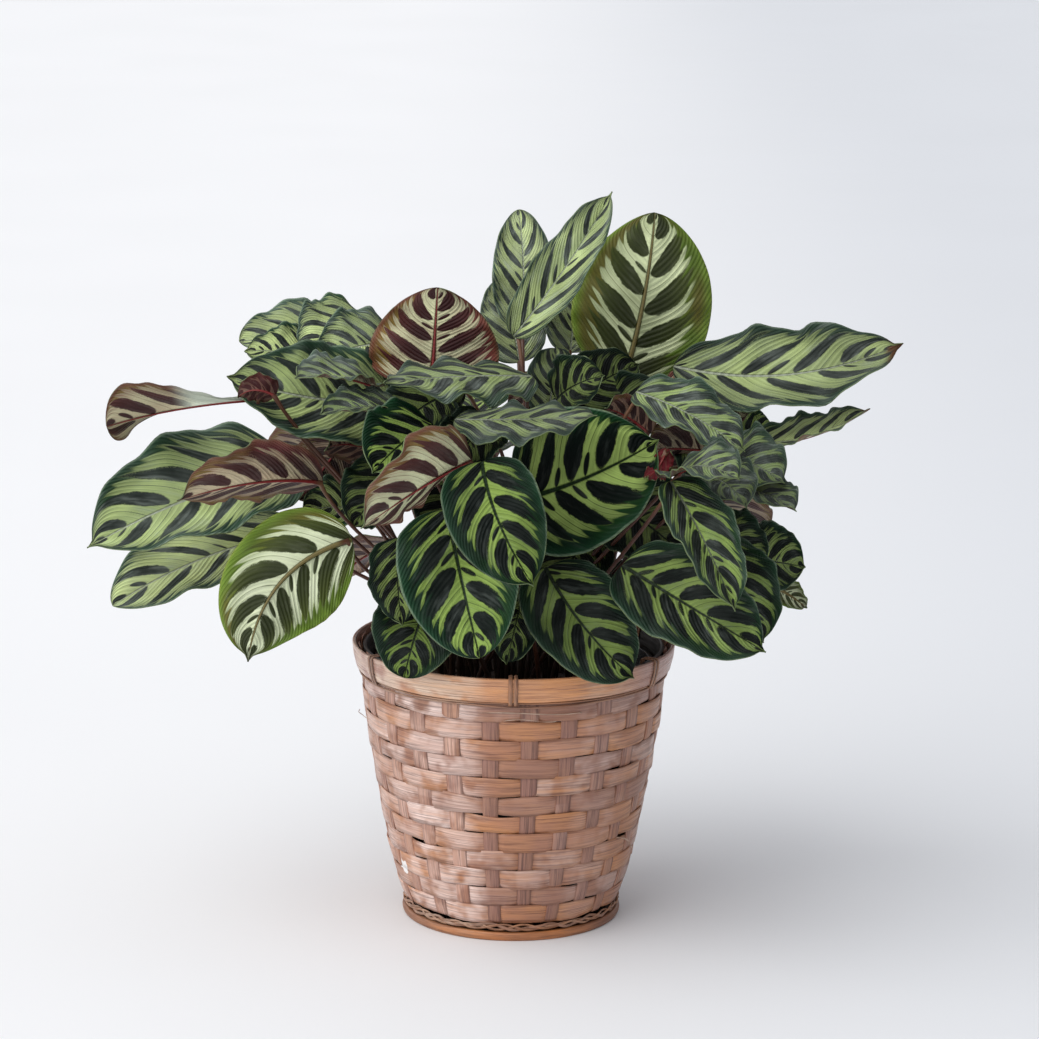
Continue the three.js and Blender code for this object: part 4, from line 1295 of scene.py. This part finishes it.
# the rim with its lashings and strands, in millimetres
rimMake = {
    "outerRadius": 97.5,
    "innerRadius": 91.0,
    "thickness": 2.4,
    "round": 0.9,
    "crown": 0.5,  # how far the band bellies out between its edges
    "steps": 144,
    "innerDrop": 2.2,  # the band within stands lower than the outer one
    "lashings": 6,
    "lashTurn": math.radians(-90),
    "strapTurn": 0.016,  # the two straps of a lashing stand this far from its middle, radians
    "strapWidth": 2.3,
    "strapThickness": 0.8,
    "strandRadius": 0.65,
    "strands": ((1.0, 0.25), (2.9, 0.5)),  # how far each hangs below the rim and how much it sways
}


def turnedRing(bm, corners, rounding, steps):
    # an outline of (radius, height) points with rounded corners, turned once about Z
    verts = [bm.verts.new(Vector((radius, 0, z)) * mm) for radius, z in corners]
    bm.faces.new(verts)
    bmesh.ops.bevel(bm, geom=verts, offset=rounding * mm, affect="VERTICES", segments=3, profile=0.5,
                    material=-1, offset_type="OFFSET")
    flat = [face for face in bm.faces if all(abs(vert.co.y) < 1e-7 for vert in face.verts)]
    outline = [face for face in flat if len(face.verts) > 4][-1]
    edges = list(outline.edges)
    bmesh.ops.delete(bm, geom=[outline], context="FACES_ONLY")
    before = set(bm.faces)
    bmesh.ops.spin(bm, geom=edges, cent=(0, 0, 0), axis=(0, 0, 1), angle=math.tau, steps=steps,
                   use_merge=True)
    fresh = [face for face in bm.faces if face not in before]
    for face in fresh:
        face.smooth = True
    bmesh.ops.remove_doubles(bm, verts=cornersOf(bm, fresh), dist=1e-6)
    bmesh.ops.recalc_face_normals(bm, faces=[face for face in bm.faces if face not in before])


def bandCorners(radius, drop=0):
    make = basketMake
    top = make["height"] - drop
    bottom = make["height"] - make["rimHeight"]
    lower = radius - make["taper"] * make["rimHeight"]
    return [
        (radius - 0.3, top - 0.2),
        (radius - rimMake["thickness"], top),
        (lower - rimMake["thickness"], bottom),
        (lower - 0.2, bottom),
        ((radius + lower) / 2 + rimMake["crown"] - 0.2, (top + bottom) / 2),
    ]


def strapRings(angle):
    # a strap that goes up the outside of the rim, over the top and down the inside
    top = basketMake["height"]
    bottom = top - basketMake["rimHeight"]
    lower = basketMake["taper"] * basketMake["rimHeight"]
    outer, inner = rimMake["outerRadius"], rimMake["innerRadius"] - rimMake["thickness"]
    route = [
        (outer - lower - 3.4, bottom - 1.6), (outer - lower - 0.4, bottom - 1.5),
        (outer - lower + 0.5, bottom + 0.6), (outer - lower * 0.6 + 0.8, bottom + 5),
        (outer - lower * 0.3 + 0.8, bottom + 9.5), (outer + 0.35, top - 1.2),
        (outer - 0.6, top + 0.35), (outer - 2.6, top + 0.45), (inner + 1.6, top + 0.45),
        (inner - 0.1, top + 0.1), (inner - 0.5, top - 1.8), (inner - lower * 0.4 - 0.4, bottom + 8),
        (inner - lower * 0.8 - 0.4, bottom + 3),
    ]
    side = Vector((-math.sin(angle), math.cos(angle), 0))
    wide, thin = rimMake["strapWidth"] / 2 * mm, rimMake["strapThickness"] / 2 * mm
    return [(onBasket(radius, angle, z), wide, thin, 0.0, side) for radius, z in route]


def addLashings(bm, strip):
    rng = random.Random(5)
    stripMap = bm.loops.layers.uv["stripMap"]
    for number in range(rimMake["lashings"]):
        middle = rimMake["lashTurn"] + number * math.tau / rimMake["lashings"]
        for offset in (-rimMake["strapTurn"], rimMake["strapTurn"]):
            rings = strapRings(middle + offset + rng.uniform(-0.003, 0.003))
            fresh = sweepTube(bm, rings, 8, strip, material=1)
            for face in fresh:
                for loop in face.loops:
                    loop[stripMap].uv = (loop.vert.co.z, middle * 0.01 + loop.vert.co.x)
            for vert in cornersOf(bm, fresh):
                vert[strip] = rng.random() * 0.01 + number / rimMake["lashings"]


def addStrands(bm, strip):
    # thin strands that run around the basket just under the rim
    bottom = basketMake["height"] - basketMake["rimHeight"]
    thin = rimMake["strandRadius"] * mm
    steps = 120
    for number, (drop, sway) in enumerate(rimMake["strands"]):
        rings = []
        for step in range(steps + 1):
            angle = rimMake["lashTurn"] + math.pi + math.tau * step / steps * 0.999
            z = bottom - drop - sway * math.sin(angle * 5 + number * 2)
            radius = wallRadius(z) + 2.2 + 0.3 * math.sin(angle * 8 + number)
            rings.append((onBasket(radius, angle, z), thin, thin, 0.3 + 0.3 * number))
        mapStrand(bm, sweepTube(bm, rings, 6, strip, material=1), number * 0.3)


def buildRim():
    outer = bmesh.new()
    outer.loops.layers.uv.new("stripMap")
    strip = outer.verts.layers.float.new("strip")
    turnedRing(outer, bandCorners(rimMake["outerRadius"]), rimMake["round"], rimMake["steps"])
    addLashings(outer, strip)
    addStrands(outer, strip)
    inner = bmesh.new()
    corners = bandCorners(rimMake["innerRadius"], rimMake["innerDrop"])
    turnedRing(inner, corners, rimMake["round"], rimMake["steps"])
    outerPiece = newPiece("rim_band_lashed", outer, [rimSplint, caneStrand])
    # the band within takes the painted shade
    return outerPiece, newPiece("rim_band_within", inner, [shadedSplint])


rimBand, rimBandWithin = buildRim()
for piece, node in ((rimBand, "rim_outer"), (rimBandWithin, "rim_inner")):
    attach(piece, "root")
    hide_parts(node)
print("rim lashed")

# the foot is a smooth hoop under a loose braid, in millimetres
footMake = {
    "radius": 65.8,
    "thickness": 3.4,
    "hoopHeight": 5.2,
    "round": 0.9,
    "steps": 128,
    "braidMiddle": 8.3,
    "braidSwing": 2.1,
    "braidWaves": 12,
    "braidSteps": 224,
    "strands": 3,
    "strandWide": 0.95,
    "strandThin": 0.5,
}


def braidRings(strand):
    # one strand of the braid, which weaves up and down and in and out as it goes round
    make = footMake
    rings = []
    for step in range(make["braidSteps"] + 1):
        angle = math.pi / 2 + math.tau * step / make["braidSteps"] * 0.9985
        phase = make["braidWaves"] * angle + math.tau * strand / make["strands"]
        phase += 0.5 * math.sin(angle * 4 + strand * 2)
        uneven = 0.65 + 0.35 * math.sin(angle * 2.5 + strand) * math.sin(angle * 9 + 2 * strand)
        z = make["braidMiddle"] + make["braidSwing"] * uneven * math.sin(phase)
        radius = make["radius"] - 1.1 + 0.75 * math.sin(2 * phase + 0.6)
        rings.append((onBasket(radius, angle, z), make["strandThin"] * mm, make["strandWide"] * mm,
                      strand / 3 + 0.1, Vector((0, 1, 0))))
    return rings


def buildFoot():
    make = footMake
    bm = bmesh.new()
    bm.loops.layers.uv.new("stripMap")
    strip = bm.verts.layers.float.new("strip")
    inside = make["radius"] - make["thickness"]
    corners = [(inside, 0), (make["radius"] - 0.3, 0), (make["radius"] + 0.6, 2.4),
               (make["radius"] - 0.2, make["hoopHeight"]), (inside, make["hoopHeight"])]
    turnedRing(bm, corners, make["round"], make["steps"])
    for strand in range(make["strands"]):
        mapStrand(bm, sweepTube(bm, braidRings(strand), 8, strip, material=1), strand * 0.3)
    return newPiece("foot_hoop_braided", bm, [hoopSplint, caneStrand])


foot = buildFoot()
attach(foot, "root")
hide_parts("foot_ring")
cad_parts["basket_floor"].data.materials.clear()
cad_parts["basket_floor"].data.materials.append(hoopSplint)
print("foot braided")

# the plastic liner and the soil, in millimetres
linerMake = {
    "bottomZ": 3.35,
    "topZ": 157,
    "topRadius": 83.2,
    "bottomRadius": 58,
    "thickness": 1.4,
    "lipHeight": 3,
    "lipWidth": 1.2,
    "round": 0.35,
    "steps": 128,
    "color": paint(0.035, 0.035, 0.04),
    "scratched": paint(0.10, 0.10, 0.105),
    "roughness": 0.16,
}


def linerMaterial():
    material, tree, shader = newMaterial("linerPlastic")
    scratches = noise(objectPlace(tree), 90.0, 4.0)
    color = blendColor(ramp(scratches, 0.5, 0.8), linerMake["color"], linerMake["scratched"])
    roughness = ramp(scratches, 0.35, 0.75, linerMake["roughness"], 0.38)
    finishWith(shader, color, roughness, scratches, 0.0002)
    return material


def linerAt(z):
    make = linerMake
    share = (z - make["bottomZ"]) / (make["topZ"] - make["bottomZ"])
    return make["bottomRadius"] + (make["topRadius"] - make["bottomRadius"]) * share


def buildLiner():
    make = linerMake
    bm = bmesh.new()
    lipZ = make["topZ"] - make["lipHeight"]
    floorZ = make["bottomZ"] + 2 * make["thickness"]
    corners = [
        (linerAt(make["bottomZ"]), make["bottomZ"]),
        (linerAt(lipZ), lipZ),
        (linerAt(lipZ) + make["lipWidth"], lipZ),
        (linerAt(make["topZ"]) + make["lipWidth"], make["topZ"]),
        (linerAt(make["topZ"]) - make["thickness"], make["topZ"]),
        (linerAt(floorZ) - make["thickness"], floorZ),
    ]
    turnedRing(bm, corners, make["round"], make["steps"])
    return newPiece("nursery_liner", bm, [linerMaterial()])


soilMake = {
    "top": 140,
    "radius": 78.4,
    "bottomZ": 8,
    "bottomGap": 3.2,  # between the foot of the soil and the liner's outer face
    "rings": 7,
    "ringWidth": 0.135,  # share of the radius
    "bumps": 1.6,
    "chips": 420,
    "dark": paint(0.10, 0.07, 0.055),
    "light": paint(0.24, 0.17, 0.13),
    "bark": paint(0.40, 0.32, 0.26),
}


def soilMaterial():
    material, tree, shader = newMaterial("pottingSoil")
    place = objectPlace(tree)
    lump = noise(place, 120.0, 5.0, 0.7)
    grit = noise(place, 700.0, 3.0)
    color = blendColor(ramp(lump, 0.35, 0.65), soilMake["dark"], soilMake["light"])
    color = blendColor(ramp(grit, 0.62, 0.72), color, soilMake["bark"])
    finishWith(shader, color, ramp(grit, 0.3, 0.7, 0.75, 0.95), lump, 0.0015)
    return material


def addChips(bm, rng):
    # chips of bark, strewn over the soil
    make = soilMake
    for _ in range(make["chips"]):
        reach = make["radius"] * math.sqrt(rng.random()) * 0.94
        angle = rng.uniform(0, math.tau)
        size = rng.uniform(0.7, 2.4) * mm
        turn = Matrix.Rotation(rng.uniform(0, math.tau), 4, "Z")
        tilt = Matrix.Rotation(rng.uniform(-0.7, 0.7), 4, "X")
        shape = Matrix.Diagonal((size, size * rng.uniform(0.4, 0.8), size * rng.uniform(0.25, 0.6), 1))
        place = Matrix.Translation(onBasket(reach, angle, make["top"] + 0.6))
        bmesh.ops.create_icosphere(bm, subdivisions=1, radius=1, matrix=place @ turn @ tilt @ shape)


def buildSoil():
    make = soilMake
    rng = random.Random(3)
    bm = bmesh.new()
    level = Matrix.Translation((0, 0, make["top"] * mm))
    bmesh.ops.create_circle(bm, cap_ends=True, segments=72, radius=make["radius"] * mm, matrix=level)
    middle = list(bm.faces)[0]
    width = make["radius"] * make["ringWidth"] * mm
    for _ in range(make["rings"]):
        bmesh.ops.inset_region(bm, faces=[middle], thickness=width, use_even_offset=True)
    for vert in bm.verts:
        if math.hypot(vert.co.x, vert.co.y) < (make["radius"] - 1) * mm:
            vert.co.z += rng.uniform(-1, 1) * make["bumps"] * mm
    edge = [e for e in bm.edges if e.is_boundary]
    side = bmesh.ops.extrude_edge_only(bm, edges=edge)["geom"]
    drop = (make["top"] - make["bottomZ"]) * mm
    narrow = (linerAt(make["bottomZ"]) - make["bottomGap"]) / make["radius"]
    for vert in [item for item in side if isinstance(item, bmesh.types.BMVert)]:
        vert.co = Vector((vert.co.x * narrow, vert.co.y * narrow, vert.co.z - drop))
    bmesh.ops.contextual_create(bm, geom=[e for e in bm.edges if e.is_boundary])
    bmesh.ops.recalc_face_normals(bm, faces=bm.faces)
    addChips(bm, rng)
    return newPiece("potting_soil", bm, [soilMaterial()])


liner = buildLiner()
soil = buildSoil()
for piece, node, slot in ((liner, "liner_pot", "liner"), (soil, "soil", "soil")):
    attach(piece, "root")
    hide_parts(node)
print("liner and soil in")

# floor, light and camera
studio = {
    "floorSize": 60,
    "floorLit": paint(0.945, 0.947, 0.955),
    # painted shade: the floor turns to this darker tone towards +X, away from the window
    "floorPaintedShade": paint(0.848, 0.858, 0.878),
    "dim": (0.33, 0.34, 0.36, 1.0),  # the dark side of the room
    "bright": (0.89, 0.90, 0.92, 1.0),  # the side of the window and the ceiling
    "toWindow": (-0.66, -0.10, 0.74),
    "sunFrom": (-1.5, -1.0, 1.7),
    "sunSpread": math.radians(68),
    "sunStrength": 1.75,
    "sunColor": (1.0, 0.99, 0.97),
}


def floorMaterial():
    material, tree, shader = newMaterial("paleFloor")
    place = objectPlace(tree)
    x, _, _ = split(place)
    tone = noise(place, 3.0, 3.0)
    # painted shade: darker towards +X
    color = blendColor(ramp(tone * 0.1 + x, -0.25, 0.8), studio["floorLit"], studio["floorPaintedShade"])
    shader.inputs["Specular IOR Level"].default_value = 0.2
    finishWith(shader, color, ramp(tone, 0.3, 0.7, 0.55, 0.65))
    return material


def buildRoom():
    bm = bmesh.new()
    bmesh.ops.create_grid(bm, x_segments=2, y_segments=2, size=studio["floorSize"])
    floor = newPiece("studio_floor", bm, [floorMaterial()], smooth=False)
    world = bpy.data.worlds.new("studio")
    world.use_nodes = True
    tree = world.node_tree
    direction = Value(addNode(tree, "ShaderNodeTexCoord").outputs["Generated"])
    facing = nodeFor((direction, studio["toWindow"]), "ShaderNodeVectorMath", operation="DOT_PRODUCT")
    glow = ramp(Value(facing.outputs["Value"]), -0.35, 0.95)
    plug(blendColor(glow, studio["dim"], studio["bright"]), tree.nodes["Background"].inputs["Color"])
    bpy.context.scene.world = world


def buildSun():
    lamp = bpy.data.lights.new("windowSun", "SUN")
    lamp.energy = studio["sunStrength"]
    lamp.angle = studio["sunSpread"]
    lamp.color = studio["sunColor"]
    holder = bpy.data.objects.new("windowSun", lamp)
    holder.location = studio["sunFrom"]
    holder.rotation_euler = (-Vector(studio["sunFrom"])).to_track_quat("-Z", "Y").to_euler()
    bpy.context.scene.collection.objects.link(holder)


cameraMake = {
    "place": (0.0022, -2.211, 0.7196),
    "pitch": 0.212517,  # looking down, radians
    "pan": 0.000228,
    "roll": 0.010896,
    "lens": 131.03,
    "sensor": 36,
}


def buildCamera():
    make = cameraMake
    camera = bpy.data.cameras.new("camera")
    camera.lens = make["lens"]
    camera.sensor_width = make["sensor"]
    holder = bpy.data.objects.new("camera", camera)
    ahead = Vector((math.sin(make["pan"]), math.cos(make["pan"]), 0))
    forward = ahead * math.cos(make["pitch"]) - Vector((0, 0, math.sin(make["pitch"])))
    right = Vector((math.cos(make["pan"]), -math.sin(make["pan"]), 0))
    up = right.cross(forward)
    turnedRight = right * math.cos(make["roll"]) + up * math.sin(make["roll"])
    turnedUp = up * math.cos(make["roll"]) - right * math.sin(make["roll"])
    holder.matrix_world = Matrix((turnedRight, turnedUp, -forward)).transposed().to_4x4()
    holder.location = make["place"]
    bpy.context.scene.collection.objects.link(holder)
    bpy.context.scene.camera = holder


buildRoom()
buildSun()
buildCamera()
bpy.context.scene.view_settings.view_transform = "Standard"
print("room lit")
